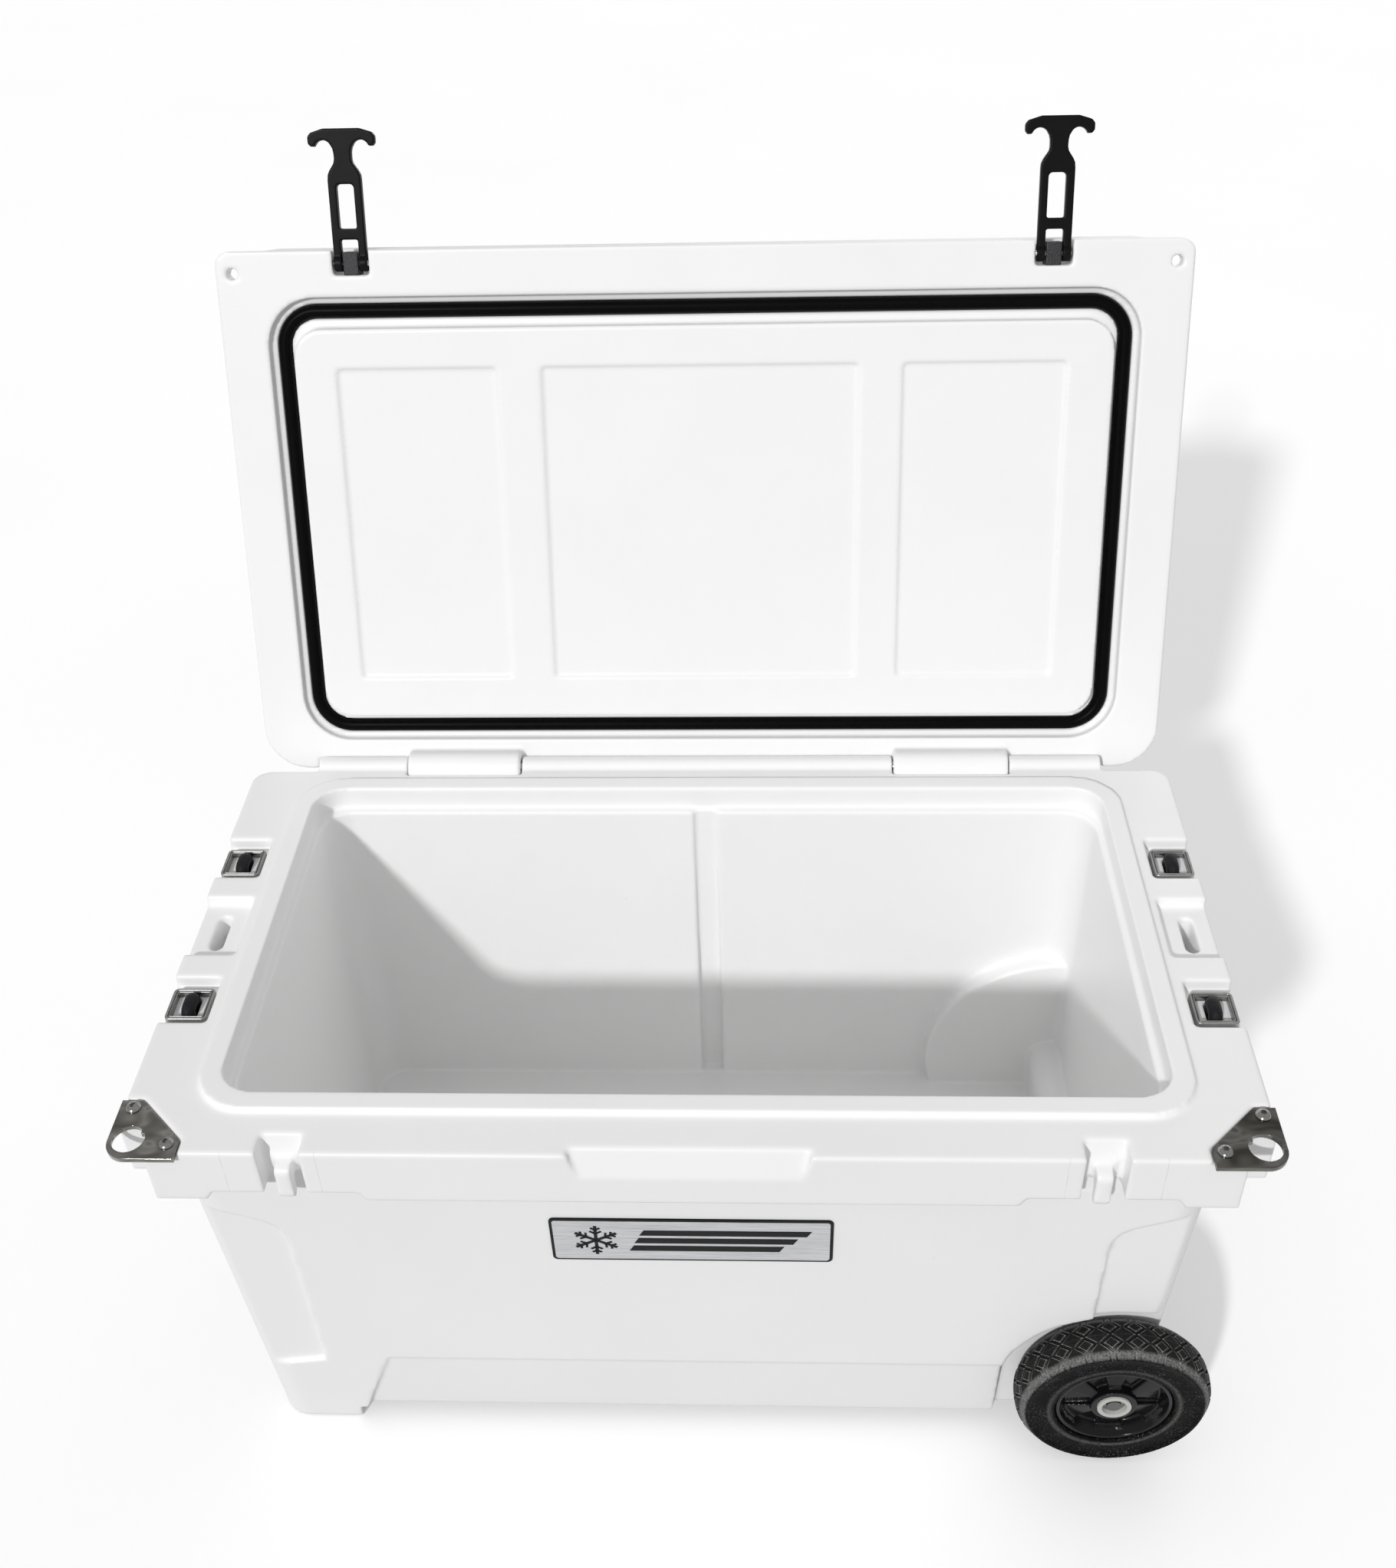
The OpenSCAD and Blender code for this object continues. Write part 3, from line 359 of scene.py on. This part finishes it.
WHITE = (0.94, 0.94, 0.938)     # one white for tub and lid
wheel_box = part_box("tyre_front")
wheel_x = (wheel_box[0].x + wheel_box[1].x) / 2
wheel_z = (wheel_box[0].z + wheel_box[1].z) / 2
M = {
    "tub": white_plastic("tub_white", WHITE, seams=True),
    "lid": white_plastic("lid_white", WHITE),
    "drain": white_plastic("drain_white", (0.78, 0.78, 0.76), rough=0.45),
    "nylon": white_plastic("bush_nylon", (0.54, 0.535, 0.515), rough=0.32),
    "gasket": black_rubber("gasket_rubber", 0.003, 0.36, 0.10, 0.02, 0.035),
    "latch": black_rubber("latch_rubber", 0.0035, 0.40, 0.22, 0.04, 0.11),
    "seal": black_rubber("seal_rubber", 0.02, 0.6, 0.3),
    "grip": black_rubber("grip_rubber", 0.007, 0.50, 0.45),
    "mount": textured_plastic("mount_nylon"),
    # both corner plates carry painted reflections; the right plate's are darker and shifted along
    "plate_left": polished("plate_steel_left", 0.85),
    "plate_right": polished("plate_steel_right", 0.55, 3.7),
    "frame": steel("frame_steel", (0.36, 0.36, 0.355), 0.34, (90, 90, 90), 0.02),
    "screw": steel("screw_steel", (0.34, 0.34, 0.33), 0.14, (300, 300, 300), 0.03),
    "pin": steel("pin_steel", (0.55, 0.55, 0.54), 0.22, (40, 1500, 1500), 0.08),
    "axle": steel("axle_steel", (0.15, 0.15, 0.147), 0.24, (1500, 40, 1500), 0.10),
    "rope": woven("rope_polyester"),
    "badge": brushed_plate("badge_metal"),
    "ink": black_rubber("badge_black", 0.004, 0.34, 0.05, 0.0, 0.12),
    "tyre": tyre_rubber("tyre_rubber", wheel_x, wheel_z),
    "hub": gloss_plastic("hub_plastic"),
}


# ---------------------------------------------------------------- mesh helpers

def place(name, data):
    """A new object in the scene."""
    o = bpy.data.objects.new(name, data)
    bpy.context.scene.collection.objects.link(o)
    return o


def coated(name, me, mat, smooth=True):
    """A new object of one material."""
    o = place(name, me)
    me.materials.clear()
    me.materials.append(mat)
    if smooth:
        for p in me.polygons:
            p.use_smooth = True
    return o


def link(name, me, mat, body, smooth=True):
    """A piece of the visual model, on its body."""
    o = coated(name, me, mat, smooth)
    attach(o, body)
    return o


# corner indices of a box's faces, its corners counted with z fastest and x slowest
BOX_FACES = ((0, 1, 3, 2), (4, 6, 7, 5), (0, 4, 5, 1), (2, 3, 7, 6), (0, 2, 6, 4), (1, 5, 7, 3))
RELAX = 0.5


def soften(name, parts, voxel, rounds, mat, body, keep=1.0, cuts=()):
    """A moulded version of CAD nodes: remeshed finely, its edges relaxed into small radii.

    voxel is in mm, keep is the share of faces left after thinning, and cuts are boxes taken out
    first, each as its low and high corner."""
    bm = bmesh.new()
    for n in parts:
        bm.from_mesh(nodes[n].data)
    bmesh.ops.remove_doubles(bm, verts=bm.verts, dist=WELD)
    me = bpy.data.meshes.new(name + "_raw")
    bm.to_mesh(me)
    bm.free()
    tmp = place(name + "_raw", me)
    if cuts:
        verts, faces = [], []
        for lo, hi in cuts:
            base = len(verts)
            verts += [(x, y, z) for x in (lo[0], hi[0]) for y in (lo[1], hi[1]) for z in (lo[2], hi[2])]
            faces += [tuple(base + i for i in f) for f in BOX_FACES]
        tool = place("tool", mesh_from("tool", verts, faces))
        c = tmp.modifiers.new("cut", "BOOLEAN")
        c.operation = "DIFFERENCE"
        c.solver = "EXACT"
        c.object = tool
    r = tmp.modifiers.new("voxel", "REMESH")
    r.mode = "VOXEL"
    r.voxel_size = voxel * MM * 1.0
    s = tmp.modifiers.new("relax", "SMOOTH")
    s.factor = RELAX
    s.iterations = rounds
    if keep < 1.0:
        d = tmp.modifiers.new("thin", "DECIMATE")
        d.ratio = keep
    dg = bpy.context.evaluated_depsgraph_get()
    out = bpy.data.meshes.new_from_object(tmp.evaluated_get(dg))
    out.name = name
    bpy.data.objects.remove(tmp)
    bpy.data.meshes.remove(me)
    if cuts:
        bpy.data.objects.remove(tool)
    o = link(name, out, mat, body)
    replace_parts(o, *parts)
    return o


def dress(node, mat, bevel=0.0):
    """A CAD node keeps its shape and gets a finish, and edges broken by bevel mm."""
    o = nodes[node]
    o.data.materials.clear()
    o.data.materials.append(mat)
    if bevel:
        w = o.modifiers.new("weld", "WELD")
        w.merge_threshold = WELD
        b = o.modifiers.new("edge", "BEVEL")
        b.width = bevel * MM
        b.segments = 2
        b.limit_method = "ANGLE"
        b.angle_limit = math.radians(30)
        b.harden_normals = False


def mesh_from(name, verts, faces):
    me = bpy.data.meshes.new(name)
    me.from_pydata(verts, [], faces)
    me.update()
    return me


def stitch(rings, verts, faces):
    """Adds a capped tube through rings of equally many points."""
    base, sides, n = len(verts), len(rings[0]), len(rings)
    for r in rings:
        verts.extend(r)
    for i in range(n - 1):
        for k in range(sides):
            a, b = base + i * sides + k, base + i * sides + (k + 1) % sides
            faces.append((a, b, b + sides, a + sides))
    faces.append(tuple(base + k for k in reversed(range(sides))))
    faces.append(tuple(base + (n - 1) * sides + k for k in range(sides)))


def resample(points, step):
    """Even spacing along a polyline."""
    out, carry = [points[0].copy()], 0.0
    for a, b in zip(points, points[1:]):
        length = (b - a).length
        d = step - carry
        while d <= length:
            out.append(a.lerp(b, d / length))
            d += step
        carry = length - (d - step)
    return out


BRAID_STEP = 0.28        # mm between rings
BRAID_PITCH = 2.3        # mm along the rope from one crossing of strands to the next
BRAID_RELIEF = 0.085     # depth of the gaps, as a share of the radius


def braid(path, radius, start_normal, strands=12, sides=72):
    """Vertices and faces of a round braided rope, its strands passing over and under each other."""
    step = BRAID_STEP * 1.0
    sides = sides
    path = resample(path, step * MM)
    n = len(path)
    tang = [(path[min(i + 1, n - 1)] - path[max(i - 1, 0)]).normalized() for i in range(n)]
    nor = [start_normal.normalized()]
    for i in range(1, n):
        v = nor[-1] - tang[i] * nor[-1].dot(tang[i])
        nor.append(v.normalized())
    rings = []
    for i in range(n):
        side = tang[i].cross(nor[i])
        s = i * step / BRAID_PITCH
        ring = []
        for k in range(sides):
            th = 2 * math.pi * k / sides
            u, v = s + strands * k / sides, s - strands * k / sides
            fu, fv = u - math.floor(u), v - math.floor(v)
            if (math.floor(u) + math.floor(v)) % 2:
                fu, fv = fv, fu
            h = math.sqrt(max(0.0, math.sin(math.pi * fu))) * (0.72 + 0.28 * math.sin(math.pi * fv))
            r = radius * (1 - BRAID_RELIEF + BRAID_RELIEF * h)
            ring.append(path[i] + nor[i] * (math.cos(th) * r) + side * (math.sin(th) * r))
        rings.append(ring)
    verts, faces = [], []
    stitch(rings, verts, faces)
    return verts, faces


def arc(centre, r, a0, a1, n=24):
    """Points in the plane x = const, angle measured from +Y towards +Z, in degrees."""
    x, y, z = centre
    angles = [math.radians(a0 + (a1 - a0) * i / n) for i in range(n + 1)]
    return [Vector((x, y + r * math.cos(a), z + r * math.sin(a))) for a in angles]


# ---------------------------------------------------------------- tub and lid

# between the two holes under each rope arch the moulding dips, so that the rope clears it
flo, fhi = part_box("rope_frames")
FRAME_HALF = 16.2    # mm, half of a frame's outside width
frame_x = fhi.x - FRAME_HALF * MM
frame_ys = (flo.y + FRAME_HALF * MM, fhi.y - FRAME_HALF * MM)
DIP_LO = Vector((-5.4, -7, -14)) * MM     # from a frame's middle, at its underside
DIP_HI = Vector((5.4, 7, 2)) * MM
dips = []
for sx in (-1, 1):
    for fy in frame_ys:
        middle = Vector((sx * frame_x, fy, flo.z))
        dips.append((middle + DIP_LO, middle + DIP_HI))
soften("tub_moulding", ["tub_shell", "tub_foam", "tub_fill_plugs"], 1.6, 6, M["tub"], "tub",
       keep=0.16, cuts=dips)
soften("lid_moulding", ["lid_shell", "lid_foam", "lid_fill_plugs"], 1.6, 5, M["lid"], "lid",
       keep=0.2)
dress("lid_gasket", M["gasket"])

# ---------------------------------------------------------------- latches and steel fittings

for side in ("left", "right"):
    latch, plate = "latch_" + side, "corner_plate_" + side
    soften("latch_strap_" + side, [latch], 0.7, 5, M["latch"], latch)
    soften("corner_steel_" + side, [plate], 0.42, 3, M["plate_" + side], "tub")
soften("latch_blocks", ["latch_mounts"], 0.6, 3, M["mount"], "lid")
dress("latch_pins", M["pin"], 0.3)
dress("hinge_pins", M["pin"], 0.5)
dress("plate_screws", M["screw"], 0.2)


def round_outline(cu, cv, w, h, r, n=6):
    """A rounded rectangle about (cu, cv), counter-clockwise, with n + 1 points a corner."""
    pts = []
    for sx, sy, a0 in ((1, 1, 0), (-1, 1, 90), (-1, -1, 180), (1, -1, 270)):
        for i in range(n + 1):
            a = math.radians(a0 + 90 * i / n)
            pts.append((cu + sx * (w / 2 - r) + r * math.cos(a), cv + sy * (h / 2 - r) + r * math.sin(a)))
    return pts


# polished frame: a broad outer bead, a groove and a fine inner bead, as (distance in from the edge, height)
BEADS = [(0.2, 0.0), (0.0, 0.5), (0.0, 4.9), (0.25, 5.6), (0.8, 5.95), (1.5, 5.95), (2.05, 5.6),
         (2.25, 4.9), (2.3, 4.3), (2.75, 4.3), (2.8, 4.9), (3.0, 5.35), (3.3, 5.45), (3.6, 5.3),
         (3.8, 4.8), (3.8, 0.0)]
FRAME_CORNER = 4.0   # mm, outside radius
verts, faces = [], []
for sx in (-1, 1):
    for fy in frame_ys:
        base, rows = len(verts), len(BEADS)
        for off, rise in BEADS:
            size = 2 * (FRAME_HALF - off)
            corner = max(FRAME_CORNER - off, 1.2)
            ring = round_outline(sx * frame_x / MM, fy / MM, size, size, corner, 8)
            per = len(ring)
            verts += [(x * MM, y * MM, flo.z + rise * MM) for x, y in ring]
        for j in range(rows):
            for k in range(per):
                a, b = base + j * per, base + (j + 1) % rows * per
                nxt = (k + 1) % per
                faces.append((a + k, a + nxt, b + nxt, b + k))
o = link("rope_loops", mesh_from("rope_loops", verts, faces), M["frame"], "tub")
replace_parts(o, "rope_frames")

# ---------------------------------------------------------------- ropes

lo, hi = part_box("handle_rope_right")
rope_r = (hi.x - lo.x) / 2
rope_x = (lo.x + hi.x) / 2
hand_y = (lo.y + hi.y) / 2           # middle of the handle
hang = (hi.y - lo.y) / 2 - rope_r    # from there to either side of the loop
pivot_z = hi.z - rope_r
grip_z = lo.z + rope_r
inside_z = pivot_z + 16 * MM         # the loop's ends, inside the rim
BEND_R = 20 * MM
ARCH_R = 7 * MM
ARCH_RISE = 4.6 * MM
SQUARE = 0.7                         # below 1 squares off the arch's shoulders
top_z = flo.z + 1 * MM
stub_z = pivot_z + 7.5 * MM          # where an arch's outer leg ends, in its knot
KNOT_TURNS = 1.35
KNOT_POINTS = 60
ACROSS = Vector((1, 0, 0))


def add(verts, faces, new):
    """Appends a mesh to lists of vertices and faces."""
    base = len(verts)
    verts += new[0]
    faces += [tuple(i + base for i in f) for f in new[1]]


for name, sgn in (("left", -1), ("right", 1)):
    x = sgn * rope_x
    # fixed arches over the bridges, each down to a knot under the rim
    verts, faces = [], []
    for end in (-1, 1):
        c = hand_y + end * (hang + ARCH_R)
        outer = c + end * ARCH_R
        inner = c - end * ARCH_R
        p = [Vector((x, inner, inside_z)), Vector((x, inner, top_z))]
        a0, a1 = (180, 0) if end > 0 else (0, 180)
        for q in arc((x, c, top_z), ARCH_R, a0, a1)[1:]:
            side, up = (q.y - c) / ARCH_R, max((q.z - top_z) / ARCH_R, 0)
            p.append(Vector((x, c + math.copysign(abs(side) ** SQUARE, side) * ARCH_R,
                             top_z + up ** SQUARE * ARCH_RISE)))
        p.append(Vector((x, outer, stub_z - 2 * MM)))
        add(verts, faces, braid(p, rope_r, ACROSS))
        # stopper knot: a tight coil of thinner braid
        coil = []
        for i in range(KNOT_POINTS):
            turn = 2 * math.pi * i / (KNOT_POINTS - 1)
            a = turn * KNOT_TURNS
            coil.append(Vector((x, outer, stub_z - 5.2 * MM))
                        + Vector((4.2 * math.cos(a), 3.4 * math.sin(a), 1.6 * math.sin(turn))) * MM)
        add(verts, faces, braid(coil, 3.3 * MM, Vector((0, 0, 1)), strands=8, sides=48))
    arches = "rope_arches_" + name
    o = link(arches, mesh_from(arches, verts, faces), M["rope"], "tub")
    if sgn < 0:
        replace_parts(o, "rope_ends")

    # hanging loop: from inside the rim, down, round and back up, bending where it leaves the rim
    yi = hang - BEND_R
    p = [Vector((x, hand_y - hang, inside_z)), Vector((x, hand_y - hang, grip_z + BEND_R))]
    p += arc((x, hand_y - yi, grip_z + BEND_R), BEND_R, 180, 270)[1:]
    p += arc((x, hand_y + yi, grip_z + BEND_R), BEND_R, 270, 360)
    p += [Vector((x, hand_y + hang, inside_z))]
    loop = "rope_loop_" + name
    handle = "handle_" + name
    o = coated(loop, mesh_from(loop, *braid(p, rope_r, ACROSS)), M["rope"])
    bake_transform(o)
    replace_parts(o, "handle_rope_" + name)
    soften("grip_sleeve_" + name, ["handle_grip_" + name], 0.7, 4, M["grip"], handle)

# ---------------------------------------------------------------- nameplate

blo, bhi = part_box("nameplate")
dress("nameplate", M["ink"], 0.4)
PLATE_T = 1.35 * MM
BORDER = 2.2         # mm of dark plate left round the brushed face
tilt = math.atan((bhi.y - blo.y - PLATE_T) / (bhi.z - blo.z))
up = Vector((0, -math.sin(tilt), math.cos(tilt)))
out = Vector((0, -math.cos(tilt), -math.sin(tilt)))
w, h = bhi.x - blo.x, (bhi.z - blo.z) / math.cos(tilt)
FACE_OUT = 0.68 * MM                 # from the box's middle to the plate's front
face = (blo + bhi) / 2 + out * FACE_OUT


def on_plate(u, v, d):
    """A point u right of, v above and d out from the middle of the plate's face, in mm."""
    return face + ACROSS * (u * MM) + up * (v * MM) + out * (d * MM)


def slab_on_plate(verts, faces, outline, d0, d1, chamfer=0.15):
    """Raised flat shape with a chamfered rim, from an outline in millimetres on the plate."""
    n = len(outline)
    cu = sum(p[0] for p in outline) / n
    cv = sum(p[1] for p in outline) / n
    base = len(verts)
    verts += [on_plate(u, v, d0) for u, v in outline]
    verts += [on_plate(u, v, d1 - chamfer) for u, v in outline]
    shrunk = []
    for u, v in outline:
        du, dv = u - cu, v - cv
        L = math.hypot(du, dv) or 1
        shrunk.append((u - du / L * chamfer, v - dv / L * chamfer))
    verts += [on_plate(u, v, d1) for u, v in shrunk]
    for ring in (0, 1):
        for k in range(n):
            a, b = base + ring * n + k, base + ring * n + (k + 1) % n
            faces.append((a, b, b + n, a + n))
    faces.append(tuple(base + 2 * n + k for k in range(n)))


verts, faces = [], []
inset = round_outline(0, 0, w / MM - 2 * BORDER, h / MM - 2 * BORDER, 2.5)
slab_on_plate(verts, faces, inset, -0.2, 0.25)
link("badge_face", mesh_from("badge_face", verts, faces), M["badge"], "tub",
     smooth=False)

# emblem, in mm on the plate: a plain snow crystal, and three slanted bars of falling length
verts, faces = [], []
CRYSTAL_U = -70.0
ARM = 17.5
TWIGS = ((8.0, 5.2), (12.6, 4.2))         # distance along an arm, length
BARS = ((9.5, 88.0), (0.0, 78.0), (-9.5, 68.0))     # height, right end
BAR_H = 6.4
SLANT = 3.5
INK = (0.2, 0.45, 0.1)                    # underside, top and chamfer


def bar(p, q, width):
    """A straight stroke from p to q."""
    du, dv = q[0] - p[0], q[1] - p[1]
    L = math.hypot(du, dv)
    nx, ny = -dv / L * width / 2, du / L * width / 2
    slab_on_plate(verts, faces, [(p[0] + nx, p[1] + ny), (p[0] - nx, p[1] - ny),
                                 (q[0] - nx, q[1] - ny), (q[0] + nx, q[1] + ny)], *INK)


for k in range(6):
    a = math.radians(60 * k + 30)
    d = (math.cos(a), math.sin(a))
    bar((CRYSTAL_U, 0), (CRYSTAL_U + d[0] * ARM, d[1] * ARM), 2.6)
    for along, length in TWIGS:
        b0 = (CRYSTAL_U + d[0] * along, d[1] * along)
        for s in (-1, 1):
            c = a + s * math.radians(55)
            bar(b0, (b0[0] + math.cos(c) * length, b0[1] + math.sin(c) * length), 1.9)
for k, (v0, u1) in enumerate(BARS):
    u0 = -38.0 - 4.0 * k
    low, high = v0 - BAR_H / 2, v0 + BAR_H / 2
    slab_on_plate(verts, faces, [(u0, low), (u1 - SLANT, low), (u1, high), (u0 + SLANT, high)], *INK)
link("badge_emblem", mesh_from("badge_emblem", verts, faces), M["ink"], "tub",
     smooth=False)

# ---------------------------------------------------------------- drain

soften("drain_flange", ["drain_fitting"], 0.6, 3, M["drain"], "tub")
soften("drain_hex_nut", ["drain_nut"], 0.5, 3, M["drain"], "tub")
soften("drain_screw_cap", ["drain_cap"], 0.55, 4, M["drain"], "drain_cap")
dress("drain_seal", M["seal"], 0.3)

# ---------------------------------------------------------------- wheels


def smoothstep(a, b, x):
    """0 up to a, 1 from b, smooth between."""
    t = max(0.0, min(1.0, (x - a) / (b - a)))
    return t * t * (3 - 2 * t)


TYRE_R = 76.2        # mm
TYRE_W = 38.0
BLOCKS = 24          # tread pitches round the tyre
TREAD_FROM = 68.8    # radius at which the tread pattern starts
SAMPLE = 0.62        # mm between profile points
# outer half of the tyre's section: (radius, distance in from the outer side) in mm
SECTION = [(46.0, 6.0), (46.6, 3.4), (48.0, 2.3), (49.4, 2.9), (50.2, 2.9), (51.2, 2.2), (52.4, 2.5),
           (56.0, 2.7), (60.0, 2.8), (64.5, 2.4), (66.6, 1.7), (68.2, 1.0), (69.6, 1.5), (71.6, 4.0),
           (73.6, 6.6), (75.0, 9.0), (75.8, 12.0), (76.15, 15.5), (TYRE_R, TYRE_W / 2)]


def groove(u, v, pitch):
    """Depth in mm of the tread pattern; u round the tyre within a pitch, v across from its middle."""
    du = abs((u / pitch - math.floor(u / pitch)) * pitch - pitch / 2)
    v = abs(v)
    # a diamond-shaped groove on either side of the middle
    d = du / 6.3 + abs(v - 6.6) / 5.0
    depth = 1.5 * smoothstep(0.97, 1.06, d) * (1 - smoothstep(1.34, 1.44, d))
    # two straight grooves from each diamond over the shoulder
    if v > 10.6:
        stem = smoothstep(1.9, 2.3, du) * (1 - smoothstep(2.9, 3.3, du)) * smoothstep(10.6, 11.6, v)
        depth = max(depth, 1.1 * stem * (1 - smoothstep(17.0, 18.2, v)))
    # a fine raised parting line round the middle
    if v < 0.9:
        depth -= 0.22 * (1 - smoothstep(0.15, 0.55, v))
    return depth


def spline(pts, i, t):
    """Catmull-Rom point at t between pts[i] and pts[i + 1]."""
    corners = [pts[max(0, min(j, len(pts) - 1))] for j in range(i - 1, i + 3)]
    return tuple(0.5 * (2 * b + (c - a) * t + (2 * a - 5 * b + 4 * c - d) * t * t
                        + (3 * b - a - 3 * c + d) * t ** 3) for a, b, c, d in zip(*corners))


def tyre(name, body, outer_y, inward, cx, cz):
    """A tyre about (cx, cz), from outer_y inward along y (1 or -1)."""
    cols = BLOCKS * 34
    prof = []
    for i in range(len(SECTION) - 1):
        p, q = SECTION[i], SECTION[i + 1]
        n = max(2, int(math.hypot(q[0] - p[0], q[1] - p[1]) / SAMPLE))
        prof += [spline(SECTION, i, k / n) for k in range(n)]
    prof.append(SECTION[-1])
    full = prof + [(r, TYRE_W - y) for r, y in reversed(prof[:-1])]
    full += [(45.9, 31.0), (45.9, 7.0)]       # the bore, on the hub
    rows = len(full)
    pitch = 2 * math.pi * TYRE_R / BLOCKS
    normals = []
    for j in range(rows):
        a = full[j - 1]
        b = full[(j + 1) % rows]
        tr, ty = b[0] - a[0], b[1] - a[1]
        L = math.hypot(tr, ty) or 1
        normals.append((ty / L, -tr / L))
    verts = []
    for i in range(cols):
        th = 2 * math.pi * i / cols
        ct, st = math.cos(th), math.sin(th)
        u = th * TYRE_R
        for j, (r, y) in enumerate(full):
            if r > TREAD_FROM:
                g = groove(u, y - TYRE_W / 2, pitch)
                nr, ny = normals[j]
                r, y = r - nr * g, y - ny * g
            verts.append((cx + r * MM * ct, outer_y + inward * y * MM, cz + r * MM * st))
    faces = []
    for i in range(cols):
        k = (i + 1) % cols
        for j in range(rows):
            nxt = (j + 1) % rows
            f = (i * rows + j, i * rows + nxt, k * rows + nxt, k * rows + j)
            faces.append(f if inward > 0 else f[::-1])
    return link(name, mesh_from(name, verts, faces), M["tyre"], body)


SHIFT_OUT = 0.5 * MM     # the section's outermost ring lies 1 mm in, so the tyre moves out by half of that
for which, inward in (("front", 1), ("back", -1)):
    near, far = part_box("tyre_" + which)
    outer = (near.y if inward > 0 else far.y) - inward * SHIFT_OUT
    wheel = "wheel_" + which
    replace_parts(tyre("tread_" + which, wheel, outer, inward, wheel_x, wheel_z), "tyre_" + which)
    soften("hub_disc_" + which, ["hub_" + which], 0.7, 4, M["hub"], wheel)
    dress("bushes_" + which, M["nylon"], 0.4)
dress("axle", M["axle"], 0.5)
dress("axle_spacers", M["axle"], 0.3)
dress("axle_clips", M["screw"], 0.15)

# ---------------------------------------------------------------- stage, light, camera

bpy.context.scene.view_settings.view_transform = "Standard"

FLOOR_HALF = 60      # m
FLOOR_Z = -0.0005
FLOOR_GLOW = 0.19    # lifts the floor to the photo's white
FLOOR_BOUNCE = 0.36  # reflectance for light on its way to the chest
# matt pale floor; it throws back less light than it shows, so the front of the chest keeps its shading
fl, fnt, fb = new_mat("floor_pale")
fv, _ = coords(fnt)
wire(fnt, ramp(fnt, tex_noise(fnt, fv, 1.5, 2.0), [(0.3, 0.93), (0.7, 0.95)]), fb.inputs["Base Color"])
fb.inputs["Roughness"].default_value = 0.9
fb.inputs["Specular IOR Level"].default_value = 0.1
fb.inputs["Emission Color"].default_value = (1, 1, 1, 1)
fb.inputs["Emission Strength"].default_value = FLOOR_GLOW
dim = put(fnt, "ShaderNodeBsdfDiffuse", Color=(FLOOR_BOUNCE, FLOOR_BOUNCE, FLOOR_BOUNCE, 1))
seen = fnt.nodes.new("ShaderNodeLightPath")
pick = fnt.nodes.new("ShaderNodeMixShader")
wire(fnt, seen.outputs["Is Diffuse Ray"], pick.inputs[0])
wire(fnt, fb.outputs[0], pick.inputs[1])
wire(fnt, dim.outputs[0], pick.inputs[2])
wire(fnt, pick.outputs[0], fnt.nodes["Material Output"].inputs["Surface"])
corners = [(sx * FLOOR_HALF, sy * FLOOR_HALF, FLOOR_Z) for sx, sy in ((-1, -1), (1, -1), (1, 1), (-1, 1))]
floor = coated("floor", mesh_from("floor", corners, [(0, 1, 2, 3)]), fl, smooth=False)

world = bpy.data.worlds.new("studio")
bpy.context.scene.world = world
world.use_nodes = True
wnt = world.node_tree
bg = wnt.nodes["Background"]
wtc = wnt.nodes.new("ShaderNodeTexCoord")
wsep = wnt.nodes.new("ShaderNodeSeparateXYZ")
wire(wnt, wtc.outputs["Generated"], wsep.inputs[0])
# slightly brighter overhead than at the horizon, like a large soft box above
sky = ramp(wnt, wsep.outputs[2], [(0.0, 0.74), (0.25, 0.78), (0.75, 0.82), (1.0, 0.82)])
wire(wnt, sky, bg.inputs[0])
SKY = 0.65
SKY_SEEN = 0.62      # added where the camera sees the sky itself, to make it as pale as the floor
wlp = wnt.nodes.new("ShaderNodeLightPath")
wire(wnt, math_node(wnt, "MULTIPLY_ADD", wlp.outputs["Is Camera Ray"], SKY_SEEN, SKY), bg.inputs[1])


def sun(name, energy, spread, direction):
    """A sun lamp shining along direction, spread degrees wide."""
    lamp = bpy.data.lights.new(name, "SUN")
    lamp.energy = energy
    lamp.angle = math.radians(spread)
    o = place(name, lamp)
    o.rotation_mode = "QUATERNION"
    o.rotation_quaternion = Vector(direction).to_track_quat("-Z", "Y")


sun("key", 1.75, 3.5, (0.637, 1.518, -1.0))      # low and soft, from the front left
sun("fill", 0.55, 40, (-0.35, -1.0, -0.22))      # faint and wide, on the far side

# camera solved from the photo: above the front, turned slightly, with a small roll
CAMERA_AT = (0.05442, -0.95351, 1.27709)
yaw, pitch, roll = 0.05293, 0.65758, 0.03427
fwd = Vector((-math.sin(yaw) * math.cos(pitch), math.cos(yaw) * math.cos(pitch), -math.sin(pitch)))
right = Vector((math.cos(yaw), math.sin(yaw), 0))
down = fwd.cross(right)
r2 = right * math.cos(roll) + down * math.sin(roll)
d2 = down * math.cos(roll) - right * math.sin(roll)
cam = bpy.data.cameras.new("camera")
cam.sensor_fit = "HORIZONTAL"
cam.sensor_width = 36.0
cam.lens = 42.857
cam.shift_y = -0.01041
co = place("camera", cam)
rot = Matrix((r2, -d2, -fwd)).transposed().to_4x4()
co.matrix_world = Matrix.Translation(CAMERA_AT) @ rot
bpy.context.scene.camera = co
